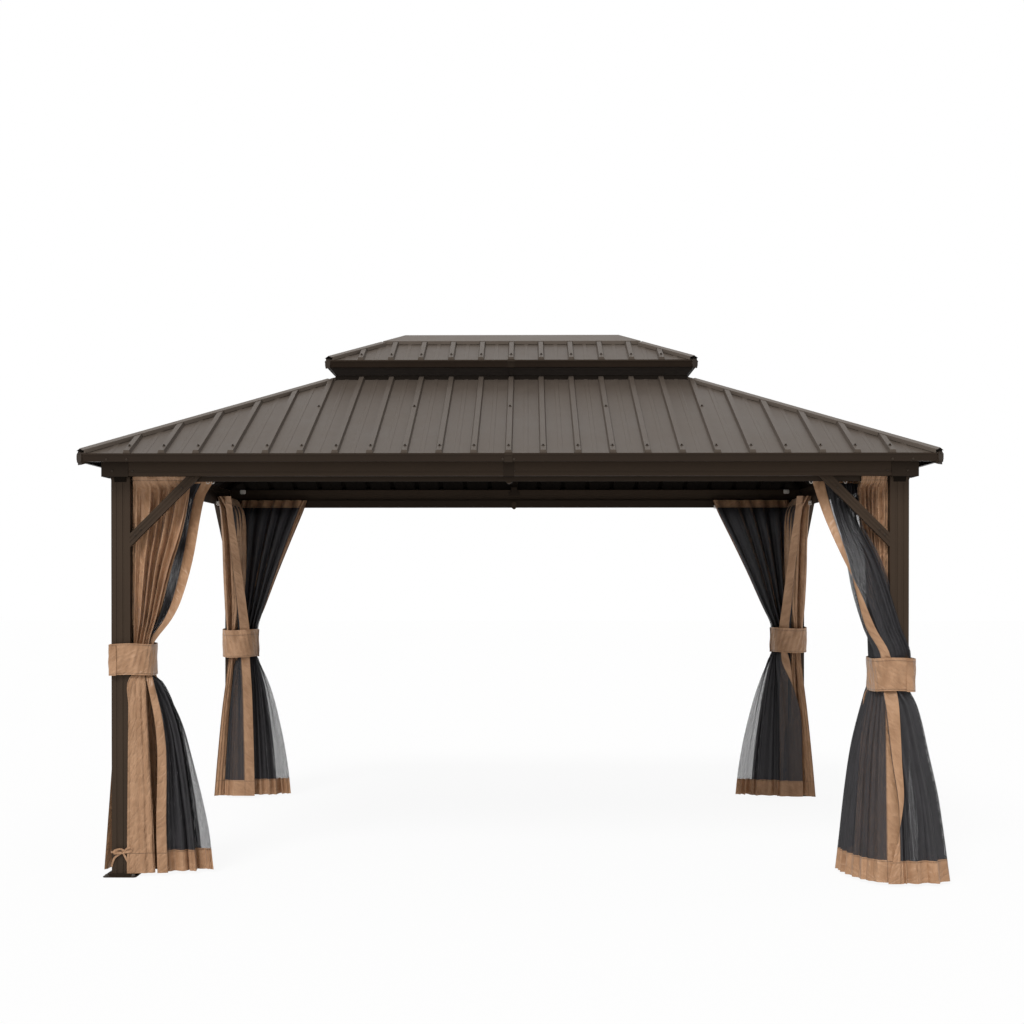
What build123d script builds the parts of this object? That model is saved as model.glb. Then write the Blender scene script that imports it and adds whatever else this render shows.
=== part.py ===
from build123d import *
from math import atan, cos, degrees, radians, sin, sqrt, tan
import os

# A free-standing garden gazebo with a two-tier hipped roof of ribbed sheet.
# Millimetres, +Z up. The origin is on the ground under the middle of the roof.
# X runs along the long side, and the front is towards -Y.

# Driving dimensions of the lower roof, over the eaves
roof_length = 4275.0
roof_width = 3000.0
eave_height = 2107.0
roof_slope = 24.85

# Driving dimensions of the upper roof, which oversails the opening in the lower one
upper_width = 850.0
upper_overhang = 67.0
vent_rise = 96.0

# Roof sheet and its ribs
sheet_thickness = 1.2
rib_pitch = 171.0
rib_base = 38.0
rib_top = 26.0
rib_height = 18.0
rib_end_room = 200.0
rib_foot_depth = 12.0
bead_base = 26.0
bead_top = 18.0
bead_height = 2.0
hip_gap = 8.0
ridge_gap = 6.0

# Covers over the hips and the ridge
cap_thickness = 2.0
hip_cap_half_width = 33.0
ridge_cap_half_width = 122.0
tooth_wall = 2.0
notch_clearance = 1.5
hip_cap_stop = 45.0
lid_gap = 3.0

# Eave trim
fascia_height = 34.0
fascia_inset = 12.0
fascia_wall = 2.5
lip_rise = 6.0
lip_height = 8.0
lip_out = 3.0
top_flange = 30.0
bottom_flange = 16.0
corner_cut = 34.0
corner_cap_thickness = 5.0
corner_cap_rise = 12.0
corner_cap_top = 29.0
corner_cap_foot = 36.0
corner_cap_chamfer = 18.0
joint_cover_width = 40.0
cover_wall = 2.0

# Posts, feet and beams
post_size = 94.0
post_wall = 2.5
flute_width = 12.0
flute_depth = 2.5
flute_offset = 16.0
plate_size = 168.0
plate_thickness = 4.0
plate_corner = 10.0
collar_rise = 10.0
collar_wall = 9.0
anchor_spacing = 134.0
anchor_hole = 12.0
eave_overhang = 105.0
beam_drop = 98.0
beam_height = 100.0
beam_depth = 60.0
beam_wall = 2.5
groove_height = 12.0
groove_depth = 3.0
groove_level = 17.0
inner_groove_height = 42.0
beam_joint = 1.0
post_inset = 35.0
sleeve_wall = 3.0
sleeve_length = 134.0
splice_length = 53.0
splice_wall = 2.0
gusset_out = 10.0
gusset_drop = 25.0
gusset_width = 60.0

# Knee braces
brace_leg = 353.0
brace_width = 48.0
brace_depth = 24.0
brace_groove = 5.0
brace_groove_depth = 2.0

# Rafters, purlins and the two rings that carry the raised upper roof
rafter_width = 40.0
rafter_depth = 50.0
purlin_size = 30.0
purlin_run = 690.0
ring_depth = 40.0
ring_height = 60.0
upright_size = 25.0
upper_ring_height = 40.0
upper_rafter_depth = 25.0
ridge_bar_depth = 40.0
bracket_wall = 3.0
bracket_reach = 45.0
bracket_cheek = 36.0
bracket_flange_width = 78.0
bracket_flange_height = 28.0
bracket_sink = 30.0

# Screens round the vent, each with a strut in front of its middle on the long sides
screen_thickness = 2.0
screen_lean = 5.0
strut_width = 22.0
strut_depth = 8.0

# Curtain rails on the inner faces of the beams
rail_depth = 26.0
rail_height = 50.0
rail_drop = 23.0
rail_slot = 8.0
rail_slot_depth = 12.0
joiner_width = 33.0
joiner_height = 54.0
joiner_depth = 12.0
joiner_drop = 12.0
joiner_corner = 11.0

# Curtains and ties
curtain_lap = 26.0
head_thickness = 45.0
bundle_thickness = 60.0
hem_thickness = 130.0
hem_clearance = 2.0
tie_wall = 4.0

# Clearances
fit = 0.3
mitre_gap = 0.3

slope = tan(radians(roof_slope))
slope_cos = cos(radians(roof_slope))
slope_sin = sin(radians(roof_slope))
hip_angle = atan(slope / sqrt(2))
fold = sin(hip_angle)
fold_cos = cos(atan(fold))

beam_bottom = eave_height - beam_drop
beam_top = beam_bottom + beam_height
beam_length = roof_length - 2 * eave_overhang
beam_width = roof_width - 2 * eave_overhang
post_top = beam_bottom - sleeve_wall
post_x = beam_length / 2 - post_inset - post_size / 2
post_y = beam_width / 2 - post_inset - post_size / 2

TURNS = {"front": 0, "right": 90, "rear": 180, "left": 270}
CORNERS = {
    "front_left": (-1, -1),
    "front_right": (1, -1),
    "rear_left": (-1, 1),
    "rear_right": (1, 1),
}
# Each tier is its length, its width and the height of its roof plane at the eave
lower_run = (roof_width - upper_width) / 2 + upper_overhang
opening_length = roof_length - 2 * lower_run
opening_width = roof_width - 2 * lower_run
upper_length = opening_length + 2 * upper_overhang
upper_eave_height = eave_height + lower_run * slope + vent_rise
LOWER = (roof_length, roof_width, eave_height)
UPPER = (upper_length, upper_width, upper_eave_height)
NECK = (opening_length, opening_width, upper_eave_height + upper_overhang * slope)
BEAMS = (beam_length, beam_width, beam_bottom)
# Longer than any cut has to be
over_all = roof_length
# What each side's share of a hipped ring keeps beyond its eave
eave_room = post_size

os.makedirs("parts", exist_ok=True)


def write(part, name):
    part.label = name
    export_step(part, f"parts/{name}.step")


# Along and half depth of one side of a rectangle, as seen from that side
def side_halves(length, width, turn):
    if turn % 180 == 0:
        return length / 2, width / 2
    return width / 2, length / 2


# A level plane seen from one side: x along the side, y inward, z up
def plan_frame(turn, height=0.0):
    along = Vector(1, 0, 0).rotate(Axis.Z, turn)
    return Plane(origin=(0, 0, height), x_dir=along, z_dir=(0, 0, 1))


# A frame on one roof slope: x along the eave, y up the slope, z out of the roof
def slope_frame(tier, turn):
    length, width, height = tier
    along_half, depth_half = side_halves(length, width, turn)
    along = Vector(1, 0, 0).rotate(Axis.Z, turn)
    inward = Vector(0, 1, 0).rotate(Axis.Z, turn)
    uphill = inward * slope_cos + Vector(0, 0, slope_sin)
    origin = inward * -depth_half + Vector(0, 0, height)
    return Plane(origin=origin, x_dir=along, z_dir=along.cross(uphill))


# A frame across one side's section: x inward from the eave, y up, z along the eave
def section_frame(tier, turn):
    length, width, height = tier
    along_half, depth_half = side_halves(length, width, turn)
    along = Vector(1, 0, 0).rotate(Axis.Z, turn)
    inward = Vector(0, 1, 0).rotate(Axis.Z, turn)
    origin = inward * -depth_half + Vector(0, 0, height)
    return Plane(origin=origin, x_dir=inward, z_dir=inward.cross(Vector(0, 0, 1)))


# A frame across one hip: origin at the eave corner, z up along the hip, y out of it
def hip_frame(tier, corner):
    length, width, height = tier
    sx, sy = corner
    level = Vector(-sx, -sy, 0) / sqrt(2)
    along = level * cos(hip_angle) + Vector(0, 0, sin(hip_angle))
    out = level * -sin(hip_angle) + Vector(0, 0, cos(hip_angle))
    origin = Vector(sx * length / 2, sy * width / 2, height)
    return Plane(origin=origin, x_dir=out.cross(along), z_dir=along)


# A vertical plane across the corner, at a level distance from the eave corner
def corner_plane(tier, corner, distance):
    length, width, height = tier
    sx, sy = corner
    inward = Vector(-sx, -sy, 0) / sqrt(2)
    origin = Vector(sx * length / 2, sy * width / 2, 0) + inward * distance
    return Plane(origin=origin, x_dir=Vector(0, 0, 1).cross(inward), z_dir=inward)


def hip_length(run):
    return run * sqrt(2) / cos(hip_angle)


# Square tube section with two shallow flutes on each face
def post_section():
    Rectangle(post_size, post_size)
    for turn in (0, 90, 180, 270):
        for place in (-flute_offset, flute_offset):
            centre = Vector(place, post_size / 2 - flute_depth / 2).rotate(Axis.Z, turn)
            with Locations(Location(centre, (0, 0, 1), turn)):
                Rectangle(flute_width, flute_depth, mode=Mode.SUBTRACT)


for name, (sx, sy) in CORNERS.items():
    foot = Plane.XY.offset(plate_thickness)
    with BuildPart() as post:
        with BuildSketch(foot):
            with Locations((sx * post_x, sy * post_y)):
                post_section()
        extrude(amount=post_top - plate_thickness)
        with BuildSketch(foot):
            with Locations((sx * post_x, sy * post_y)):
                bore = post_size - 2 * (flute_depth + post_wall)
                Rectangle(bore, bore)
        extrude(amount=post_top - plate_thickness, mode=Mode.SUBTRACT)
    write(post.part, f"post_{name}")

    collar_inner = post_size + 2 * fit
    collar_outer = collar_inner + 2 * collar_wall
    with BuildPart() as base_plate:
        with BuildSketch() as plate:
            with Locations((sx * post_x, sy * post_y)):
                Rectangle(plate_size, plate_size)
            chamfer(plate.vertices(), length=plate_corner)
        extrude(amount=plate_thickness)
        with BuildSketch(foot):
            with Locations((sx * post_x, sy * post_y)):
                Rectangle(collar_outer, collar_outer)
                Rectangle(collar_inner, collar_inner, mode=Mode.SUBTRACT)
        extrude(amount=collar_rise)
        with Locations((sx * post_x, sy * post_y, plate_thickness)):
            with GridLocations(anchor_spacing, anchor_spacing, 2, 2):
                Hole(radius=anchor_hole / 2)
    write(base_plate.part, f"base_plate_{name}")


# The corners of half an outline, followed by their mirror images about the local Y axis
def with_mirror(*points):
    other = [(-x, y) for x, y in reversed(points) if x != 0]
    return [*points, *other]


# Keeps only one side's part of a hipped ring, between its two hip lines
def keep_sector(tier, turn, inner_run, gap, outer_run=-eave_room):
    length, width, height = tier
    along_half, depth_half = side_halves(length, width, turn)
    reach = gap * sqrt(2)
    inner_run = min(inner_run, along_half - reach - fit)
    with BuildSketch(plan_frame(turn, height - over_all)) as sector:
        Polygon(
            (-along_half + outer_run + reach, -depth_half + outer_run),
            (along_half - outer_run - reach, -depth_half + outer_run),
            (along_half - inner_run - reach, -depth_half + inner_run),
            (-along_half + inner_run + reach, -depth_half + inner_run),
        )
    extrude(sector.sketch, amount=2 * over_all, mode=Mode.INTERSECT)


# Cuts away what lies outside a vertical plane across each eave corner
def cut_corners(tier, distance):
    for corner in CORNERS.values():
        with BuildSketch(corner_plane(tier, corner, distance)) as cut:
            with Locations((0, tier[2])):
                Rectangle(over_all, over_all)
        extrude(cut.sketch, amount=-over_all, mode=Mode.SUBTRACT)


cap_seat = corner_cut / sqrt(2) + corner_cap_thickness + fit

inner_groove_level = rail_height - rail_drop


# Beams: hollow sections with a groove along the outer face and a wider one inside
def beam_section():
    Rectangle(beam_depth, beam_height, align=(Align.MIN, Align.MIN))
    with Locations((0, groove_level)):
        Rectangle(groove_depth, groove_height, align=(Align.MIN, Align.MIN), mode=Mode.SUBTRACT)
    with Locations((beam_depth, inner_groove_level)):
        Rectangle(
            groove_depth,
            inner_groove_height,
            align=(Align.MAX, Align.MIN),
            mode=Mode.SUBTRACT,
        )
    with Locations((groove_depth + beam_wall, beam_wall)):
        Rectangle(
            beam_depth - 2 * groove_depth - 2 * beam_wall,
            beam_height - 2 * beam_wall,
            align=(Align.MIN, Align.MIN),
            mode=Mode.SUBTRACT,
        )


for side in ("front", "rear"):
    frame = section_frame(BEAMS, TURNS[side])
    with BuildPart() as beam:
        for start in (-beam_length / 2, beam_joint / 2):
            with BuildSketch(frame.offset(start)):
                beam_section()
            extrude(amount=(beam_length - beam_joint) / 2)
    write(beam.part, f"beam_{side}")

side_beam_length = beam_width - 2 * beam_depth - 2 * fit
for side in ("left", "right"):
    with BuildPart() as beam:
        with BuildSketch(section_frame(BEAMS, TURNS[side]).offset(-side_beam_length / 2)):
            beam_section()
        extrude(amount=side_beam_length)
    write(beam.part, f"beam_{side}")

# Splice covers wrap the outer face and the underside where the long beams are joined
with BuildPart() as splices:
    for side in ("front", "rear"):
        with BuildSketch(section_frame(BEAMS, TURNS[side]).offset(-splice_length / 2)):
            Polygon(
                (-splice_wall, -splice_wall),
                (beam_depth, -splice_wall),
                (beam_depth, 0),
                (0, 0),
                (0, beam_height),
                (-splice_wall, beam_height),
            )
        extrude(amount=splice_length)
write(splices.part, "beam_splices")

# Corner sleeves: a plate on the post head, two walls over the beam ends and two gussets
sleeve_out = fit + sleeve_wall
sleeve_reach = sleeve_length - sleeve_out
with BuildPart() as sleeves:
    for sx, sy in CORNERS.values():
        edge_x = beam_length / 2 + sleeve_out
        edge_y = beam_width / 2 + sleeve_out
        middle = (sx * (edge_x - sleeve_length / 2), sy * (edge_y - sleeve_length / 2))
        with BuildSketch(Plane.XY.offset(post_top)):
            with Locations(middle):
                Rectangle(sleeve_length, sleeve_length)
        extrude(amount=sleeve_wall)
        with BuildSketch(Plane.XY.offset(beam_bottom)):
            with Locations((sx * (edge_x - sleeve_wall / 2), middle[1])):
                Rectangle(sleeve_wall, sleeve_length)
            with Locations((middle[0], sy * (edge_y - sleeve_wall / 2))):
                Rectangle(sleeve_length, sleeve_wall)
        extrude(amount=beam_height)
        outer_x = sx * (post_x + post_size / 2 + fit)
        outer_y = sy * (post_y + post_size / 2 + fit)
        end_face = Plane((outer_x, sy * post_y, post_top), x_dir=(sx, 0, 0), z_dir=(0, -sx, 0))
        long_face = Plane((sx * post_x, outer_y, post_top), x_dir=(0, sy, 0), z_dir=(sy, 0, 0))
        for face in (end_face, long_face):
            with BuildSketch(face):
                Polygon((0, 0), (gusset_out, 0), (0, -gusset_drop))
            extrude(amount=gusset_width / 2, both=True)
write(sleeves.part, "corner_sleeves")

# Curtain rails: slotted strips on the inner faces of the beams, clear of the posts
rail_run = max(post_inset + post_size, sleeve_reach) + fit
with BuildPart() as rails:
    for turn in TURNS.values():
        along_half, depth_half = side_halves(beam_length, beam_width, turn)
        rail_half = along_half - rail_run
        with BuildSketch(section_frame(BEAMS, turn).offset(-rail_half)):
            with Locations((beam_depth, -rail_drop)):
                Rectangle(rail_depth, rail_height, align=(Align.MIN, Align.MIN))
            with Locations((beam_depth + rail_depth / 2, -rail_drop)):
                Rectangle(
                    rail_slot, rail_slot_depth, align=(Align.CENTER, Align.MIN), mode=Mode.SUBTRACT
                )
        extrude(amount=2 * rail_half)
write(rails.part, "curtain_rails")

# Rail joiners: rounded clips over the middle joints of the two long rails
with BuildPart() as joiners:
    for sy in (-1, 1):
        rail_face = sy * (beam_width / 2 - beam_depth - rail_depth - fit)
        middle = beam_bottom - rail_drop - joiner_drop + joiner_height / 2
        with BuildSketch(Plane((0, rail_face, middle), x_dir=(1, 0, 0), z_dir=(0, -sy, 0))):
            outline = Rectangle(joiner_width, joiner_height)
            chamfer(outline.vertices(), joiner_corner)
        extrude(amount=joiner_depth)
write(joiners.part, "rail_joiners")

# Knee braces: one in each bay at every corner, with two grooves along the outer face
brace_head = brace_leg - brace_width * sqrt(2)


def brace(frame, depth):
    with BuildSketch(frame) as side:
        Polygon((0, -brace_leg), (brace_leg, 0), (brace_head, 0), (0, -brace_head))
    extrude(side.sketch, amount=depth)
    for share in (1 / 3, 2 / 3):
        middle = brace_head + (brace_leg - brace_head) * share
        low = middle + brace_groove / sqrt(2)
        high = middle - brace_groove / sqrt(2)
        with BuildSketch(frame) as groove:
            Polygon((0, -low), (low, 0), (high, 0), (0, -high))
        extrude(groove.sketch, amount=brace_groove_depth * depth / brace_depth, mode=Mode.SUBTRACT)


for name, (sx, sy) in CORNERS.items():
    inner_x = sx * (post_x - post_size / 2)
    inner_y = sy * (post_y - post_size / 2)
    outer_x = sx * (post_x + post_size / 2)
    outer_y = sy * (post_y + post_size / 2)
    long_bay = Plane(
        origin=(inner_x, outer_y, beam_bottom), x_dir=(-sx, 0, 0), z_dir=(0, sx, 0)
    )
    end_bay = Plane(
        origin=(outer_x, inner_y, beam_bottom), x_dir=(0, -sy, 0), z_dir=(-sy, 0, 0)
    )
    with BuildPart() as braces:
        brace(long_bay, -sx * sy * brace_depth)
        brace(end_bay, sx * sy * brace_depth)
    write(braces.part, f"knee_braces_{name}")

# Vent frame: four bars under the top edges of the lower roof
ring_run = lower_run - ring_depth
ring_under = ring_run * slope - ring_height


def side_bar(tier, turn, corners, inner_run, gap=mitre_gap):
    """A straight bar along one side, mitred at the hips: corners are (inward, up)."""
    with BuildPart() as bar:
        with BuildSketch(section_frame(tier, turn)):
            Polygon(*corners)
        extrude(amount=over_all, both=True)
        keep_sector(tier, turn, inner_run, gap)
    return bar.part


ring_corners = [
    (ring_run, ring_run * slope),
    (lower_run, lower_run * slope),
    (lower_run, ring_under),
    (ring_run, ring_under),
]
ring_bars = [side_bar(LOWER, turn, ring_corners, lower_run) for turn in TURNS.values()]
with BuildPart() as vent_frame:
    add(ring_bars)
write(vent_frame.part, "vent_frame")

# Rafters: one up the middle of each slope, notched over the beam
rafter_plumb = rafter_depth / slope_cos
rafter_foot = top_flange + fit
notch_out = eave_overhang - sleeve_wall - 2 * fit
notch_in = eave_overhang + beam_depth + fit
notch_top = beam_top - eave_height + fit
with BuildPart() as rafters:
    for turn in TURNS.values():
        with BuildSketch(section_frame(LOWER, turn)):
            Polygon(
                (rafter_foot, rafter_foot * slope),
                (ring_run - fit, (ring_run - fit) * slope),
                (ring_run - fit, (ring_run - fit) * slope - rafter_plumb),
                (rafter_foot, rafter_foot * slope - rafter_plumb),
            )
            Polygon(
                (notch_out, notch_top),
                (notch_in, notch_top),
                (notch_in, notch_top - beam_height),
                (notch_out, notch_top - beam_height),
                mode=Mode.SUBTRACT,
            )
        extrude(amount=rafter_width / 2, both=True)
write(rafters.part, "rafters")

# Rafter brackets: a T-shaped plate on the beam's inner face, with a cheek each side
bracket_run = notch_in + bracket_wall
bracket_seat = notch_in * slope - rafter_plumb - fit
flange_top = bracket_seat - bracket_sink
stem_half = rafter_width / 2 + fit + bracket_wall
with BuildPart() as brackets:
    for turn in TURNS.values():
        along = Vector(1, 0, 0).rotate(Axis.Z, turn)
        section = section_frame(LOWER, turn)
        face = Plane(section.origin + section.x_dir * notch_in, x_dir=along, z_dir=-section.x_dir)
        with BuildSketch(face):
            with Locations((0, flange_top)):
                Rectangle(
                    bracket_flange_width, bracket_flange_height, align=(Align.CENTER, Align.MAX)
                )
                Rectangle(2 * stem_half, bracket_sink, align=(Align.CENTER, Align.MIN))
        extrude(amount=-bracket_wall)
        for start in (-stem_half, stem_half - bracket_wall):
            with BuildSketch(section.offset(start)):
                Polygon(
                    (notch_in, flange_top),
                    (bracket_run, flange_top),
                    (notch_in + bracket_reach, bracket_seat + bracket_reach * slope),
                    (notch_in + bracket_reach, bracket_seat + bracket_reach * slope + bracket_cheek),
                    (notch_in, bracket_seat + bracket_cheek),
                )
            extrude(amount=bracket_wall)
write(brackets.part, "rafter_brackets")

# Purlins: half way up each slope, from hip rafter to middle rafter
purlin_corners = [
    (purlin_run, purlin_run * slope),
    (purlin_run + purlin_size, (purlin_run + purlin_size) * slope),
    (purlin_run + purlin_size, purlin_run * slope - purlin_size),
    (purlin_run, purlin_run * slope - purlin_size),
]
hip_side = rafter_width / 2 + fit
purlin_bars = [
    side_bar(LOWER, turn, purlin_corners, lower_run, hip_side) for turn in TURNS.values()
]
with BuildPart() as purlins:
    add(purlin_bars)
    with Locations((0, 0, eave_height + purlin_run * slope)):
        Box(rafter_width + 2 * fit, roof_width, 4 * purlin_size, mode=Mode.SUBTRACT)
        Box(roof_length, rafter_width + 2 * fit, 4 * purlin_size, mode=Mode.SUBTRACT)
write(purlins.part, "purlins")

# Hip rafters: backed to both slopes, notched over the beams, cut round the vent frame
rafter_edge = rafter_width / 2
for name, corner in CORNERS.items():
    ring_box_x = roof_length - 2 * ring_run + 2 * fit
    ring_box_y = roof_width - 2 * ring_run + 2 * fit
    notch_x = roof_length - 2 * notch_out
    notch_y = roof_width - 2 * notch_out
    inner_notch_x = roof_length - 2 * notch_in
    inner_notch_y = roof_width - 2 * notch_in
    with BuildPart() as hip_rafter:
        with BuildSketch(hip_frame(LOWER, corner)):
            Polygon(
                *with_mirror(
                    (0, 0),
                    (rafter_edge, -rafter_edge * fold),
                    (rafter_edge, -rafter_depth - rafter_edge * fold),
                )
            )
        extrude(amount=hip_length(lower_run))
        with Locations((0, 0, eave_height + lower_run * slope)):
            Box(ring_box_x, ring_box_y, over_all, mode=Mode.SUBTRACT)
        with BuildSketch(Plane.XY.offset(beam_top + fit)):
            Rectangle(notch_x, notch_y)
            Rectangle(inner_notch_x, inner_notch_y, mode=Mode.SUBTRACT)
        extrude(amount=-beam_height, mode=Mode.SUBTRACT)
        cut_corners(LOWER, cap_seat)
    write(hip_rafter.part, f"hip_rafter_{name}")


# Fascia section: a sloping web with a lip, a ledge for the sheets and a foot
def fascia_corners():
    drop = fascia_wall / slope_cos
    web_top = fascia_wall + fit
    return [
        (-lip_out, lip_rise),
        (fascia_wall, lip_rise),
        (fascia_wall, fascia_wall * slope),
        (top_flange, top_flange * slope),
        (top_flange, top_flange * slope - drop),
        (web_top, web_top * slope - drop),
        (fascia_inset + fascia_wall, fascia_wall - fascia_height),
        (fascia_inset + bottom_flange, fascia_wall - fascia_height),
        (fascia_inset + bottom_flange, -fascia_height),
        (fascia_inset, -fascia_height),
        (0, lip_rise - lip_height),
        (-lip_out, lip_rise - lip_height),
    ]


def fascia(tier, name, gap):
    bars = [side_bar(tier, turn, fascia_corners(), post_size, gap) for turn in TURNS.values()]
    with BuildPart() as trim:
        add(bars)
        cut_corners(tier, cap_seat)
    write(trim.part, name)


fascia(LOWER, "eave_fascia", hip_side)
fascia(UPPER, "upper_fascia", mitre_gap)


# Trim covers: an end plate on each corner and a strap over the middle joint
def fascia_covers(tier, name):
    outer_half = corner_cut / sqrt(2)
    top = tier[2] + corner_cap_rise
    foot = tier[2] - fascia_height - 2 * cover_wall
    with BuildPart() as covers:
        for corner in CORNERS.values():
            with BuildSketch(corner_plane(tier, corner, corner_cut / sqrt(2))):
                Polygon(
                    *with_mirror(
                        (corner_cap_top / 2, top),
                        (outer_half, top - corner_cap_rise),
                        (outer_half, foot + corner_cap_chamfer),
                        (corner_cap_foot / 2, foot),
                    )
                )
            extrude(amount=corner_cap_thickness)
        for turn in (0, 180):
            with BuildSketch(section_frame(tier, turn).offset(-joint_cover_width / 2)):
                Polygon(
                    (fascia_wall, lip_rise),
                    (fascia_wall, lip_rise + cover_wall),
                    (-lip_out - cover_wall, lip_rise + cover_wall),
                    (-lip_out - cover_wall, lip_rise - lip_height - cover_wall),
                    (-cover_wall, lip_rise - lip_height - cover_wall),
                    (fascia_inset - cover_wall, -fascia_height - cover_wall),
                    (fascia_inset + bottom_flange, -fascia_height - cover_wall),
                    (fascia_inset + bottom_flange, -fascia_height),
                    (fascia_inset, -fascia_height),
                    (0, lip_rise - lip_height),
                    (-lip_out, lip_rise - lip_height),
                    (-lip_out, lip_rise),
                )
            extrude(amount=joint_cover_width)
    write(covers.part, name)


fascia_covers(LOWER, "eave_covers")
fascia_covers(UPPER, "upper_covers")


# Rib positions along one eave: even pitch about the middle, none in the corners
def rib_places(along_half):
    reach = int((along_half - rib_end_room) / rib_pitch)
    return [index * rib_pitch for index in range(-reach, reach + 1)]


# The folds of one sheet in order: each is its place, its base, its top and its height
def sheet_folds(along_half):
    ribs = [(place, rib_base, rib_top, rib_height) for place in rib_places(along_half)]
    first = ribs[0][0] - rib_pitch / 2
    beads = [
        (first + index * rib_pitch, bead_base, bead_top, bead_height)
        for index in range(len(ribs) + 1)
    ]
    return sorted(ribs + beads)


# The folded sheet across one slope: the outer face, and the same a sheet's thickness in
def sheet_corners(along_half):
    outer = [(-along_half, sheet_thickness)]
    inner = [(-along_half, 0)]
    for place, base, top, height in sheet_folds(along_half):
        lean = atan(height / ((base - top) / 2))
        pinch = sheet_thickness * tan(lean / 2)
        for edge, rise in ((-base / 2, 0), (-top / 2, height), (top / 2, height), (base / 2, 0)):
            shift = pinch if edge < 0 else -pinch
            outer.append((place + edge, sheet_thickness + rise))
            inner.append((place + edge + shift, rise))
    outer.append((along_half, sheet_thickness))
    inner.append((along_half, 0))
    return [*outer, *reversed(inner)]


# The closed foot of every rib, filling the fold up to the sheet's inner face
def rib_feet(along_half):
    for place in rib_places(along_half):
        Polygon(
            (place - rib_base / 2, 0),
            (place - rib_top / 2, rib_height),
            (place + rib_top / 2, rib_height),
            (place + rib_base / 2, 0),
        )


# A plane across the folds of one slope, at the eave
def fold_frame(tier, turn):
    base = slope_frame(tier, turn)
    return Plane(origin=base.origin, x_dir=base.x_dir, z_dir=-base.y_dir)


def roof_slope_sheet(tier, turn, foot_run, top_run, name):
    along_half, depth_half = side_halves(tier[0], tier[1], turn)
    with BuildPart() as sheet:
        with BuildSketch(fold_frame(tier, turn)):
            Polygon(*sheet_corners(along_half))
        extrude(amount=-over_all)
        with BuildSketch(fold_frame(tier, turn)):
            rib_feet(along_half)
        extrude(amount=-rib_foot_depth)
        keep_sector(tier, turn, top_run, hip_gap, foot_run)
        cut_corners(tier, cap_seat)
    write(sheet.part, name)


sheet_foot = fascia_wall + fit
for side, turn in TURNS.items():
    roof_slope_sheet(LOWER, turn, sheet_foot, lower_run, f"lower_roof_{side}")
    roof_slope_sheet(UPPER, turn, sheet_foot, upper_width / 2 - ridge_gap, f"upper_roof_{side}")

rib_crest = sheet_thickness + rib_height
bead_crest = sheet_thickness + bead_height


# The room that the ribs of one slope need, for the notches of the covers over them
def rib_rooms(tier, turn, top_run):
    along_half, depth_half = side_halves(tier[0], tier[1], turn)
    foot_half = rib_base / 2 + notch_clearance
    top_half = rib_top / 2 + notch_clearance
    with BuildPart() as rooms:
        with BuildSketch(fold_frame(tier, turn)):
            for place in rib_places(along_half):
                Polygon(
                    (place - foot_half, 0),
                    (place + foot_half, 0),
                    (place + top_half, rib_crest + notch_clearance),
                    (place - top_half, rib_crest + notch_clearance),
                )
        extrude(amount=-over_all)
        keep_sector(tier, turn, top_run, 0)
    return rooms.part


# Hip covers: folded strips on the ribs along each hip, with edges turned down to the
# sheets and notched round every rib that they cross
cap_under = rib_crest / fold_cos + fit
tooth_foot = bead_crest / fold_cos + fit


def hip_covers(tier, top_run, name):
    edge = hip_cap_half_width
    tooth_in = edge - tooth_wall
    with BuildPart() as covers:
        for corner in CORNERS.values():
            for side in (-1, 1):
                with BuildSketch(hip_frame(tier, corner)):
                    Polygon(
                        (side * tooth_in, cap_under - tooth_in * fold),
                        (side * edge, cap_under - edge * fold),
                        (side * edge, tooth_foot - edge * fold),
                        (side * tooth_in, tooth_foot - tooth_in * fold),
                    )
                extrude(amount=hip_length(top_run))
        with BuildSketch():
            Rectangle(tier[0] - 2 * sheet_foot, tier[1] - 2 * sheet_foot)
        extrude(amount=over_all, mode=Mode.INTERSECT)
        for turn in TURNS.values():
            add(rib_rooms(tier, turn, top_run), mode=Mode.SUBTRACT)
        for corner in CORNERS.values():
            with BuildSketch(hip_frame(tier, corner)):
                Polygon(
                    *with_mirror(
                        (0, cap_under + cap_thickness),
                        (edge, cap_under + cap_thickness - edge * fold),
                        (edge, cap_under - edge * fold),
                        (0, cap_under),
                    )
                )
            extrude(amount=hip_length(top_run))
        cut_corners(tier, cap_seat)
    write(covers.part, name)


hip_covers(LOWER, lower_run - hip_cap_stop, "lower_hip_covers")
ridge_lid_run = upper_width / 2 - ridge_cap_half_width
hip_covers(UPPER, ridge_lid_run - lid_gap, "upper_hip_covers")

# Ridge cover: a shallow hipped lid on the ribs, with the same notched edges
ridge_length = upper_length - upper_width
ridge_height = upper_eave_height + upper_width / 2 * slope


def hipped_solid(length, width, peak, depth):
    """A block with a hipped top at the roof's own slope, peaking at the given height."""
    crest_half = (length - width) / 2
    edge = peak - width / 2 * slope
    with BuildPart() as block:
        with BuildSketch(Plane.YZ):
            Polygon(
                (-width / 2, edge),
                (0, peak),
                (width / 2, edge),
                (width / 2, edge - depth),
                (-width / 2, edge - depth),
            )
        extrude(amount=length, both=True)
        with BuildSketch(Plane.XZ):
            Polygon(
                (-length / 2, edge),
                (-crest_half, peak),
                (crest_half, peak),
                (length / 2, edge),
                (length / 2, edge - depth),
                (-length / 2, edge - depth),
            )
        extrude(amount=width, both=True, mode=Mode.INTERSECT)
    return block.part


lid_length = ridge_length + 2 * ridge_cap_half_width
lid_width = 2 * ridge_cap_half_width
lid_under = rib_crest / slope_cos + fit
lid_wall = cap_thickness / slope_cos
lid_peak = ridge_height + lid_under + lid_wall
lid_solid = hipped_solid(lid_length, lid_width, lid_peak, cap_thickness)
lid_void = hipped_solid(2 * lid_length, lid_width + lid_length, lid_peak - lid_wall, over_all)
with BuildPart() as lid:
    add(lid_solid)
    add(lid_void, mode=Mode.SUBTRACT)

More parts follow.
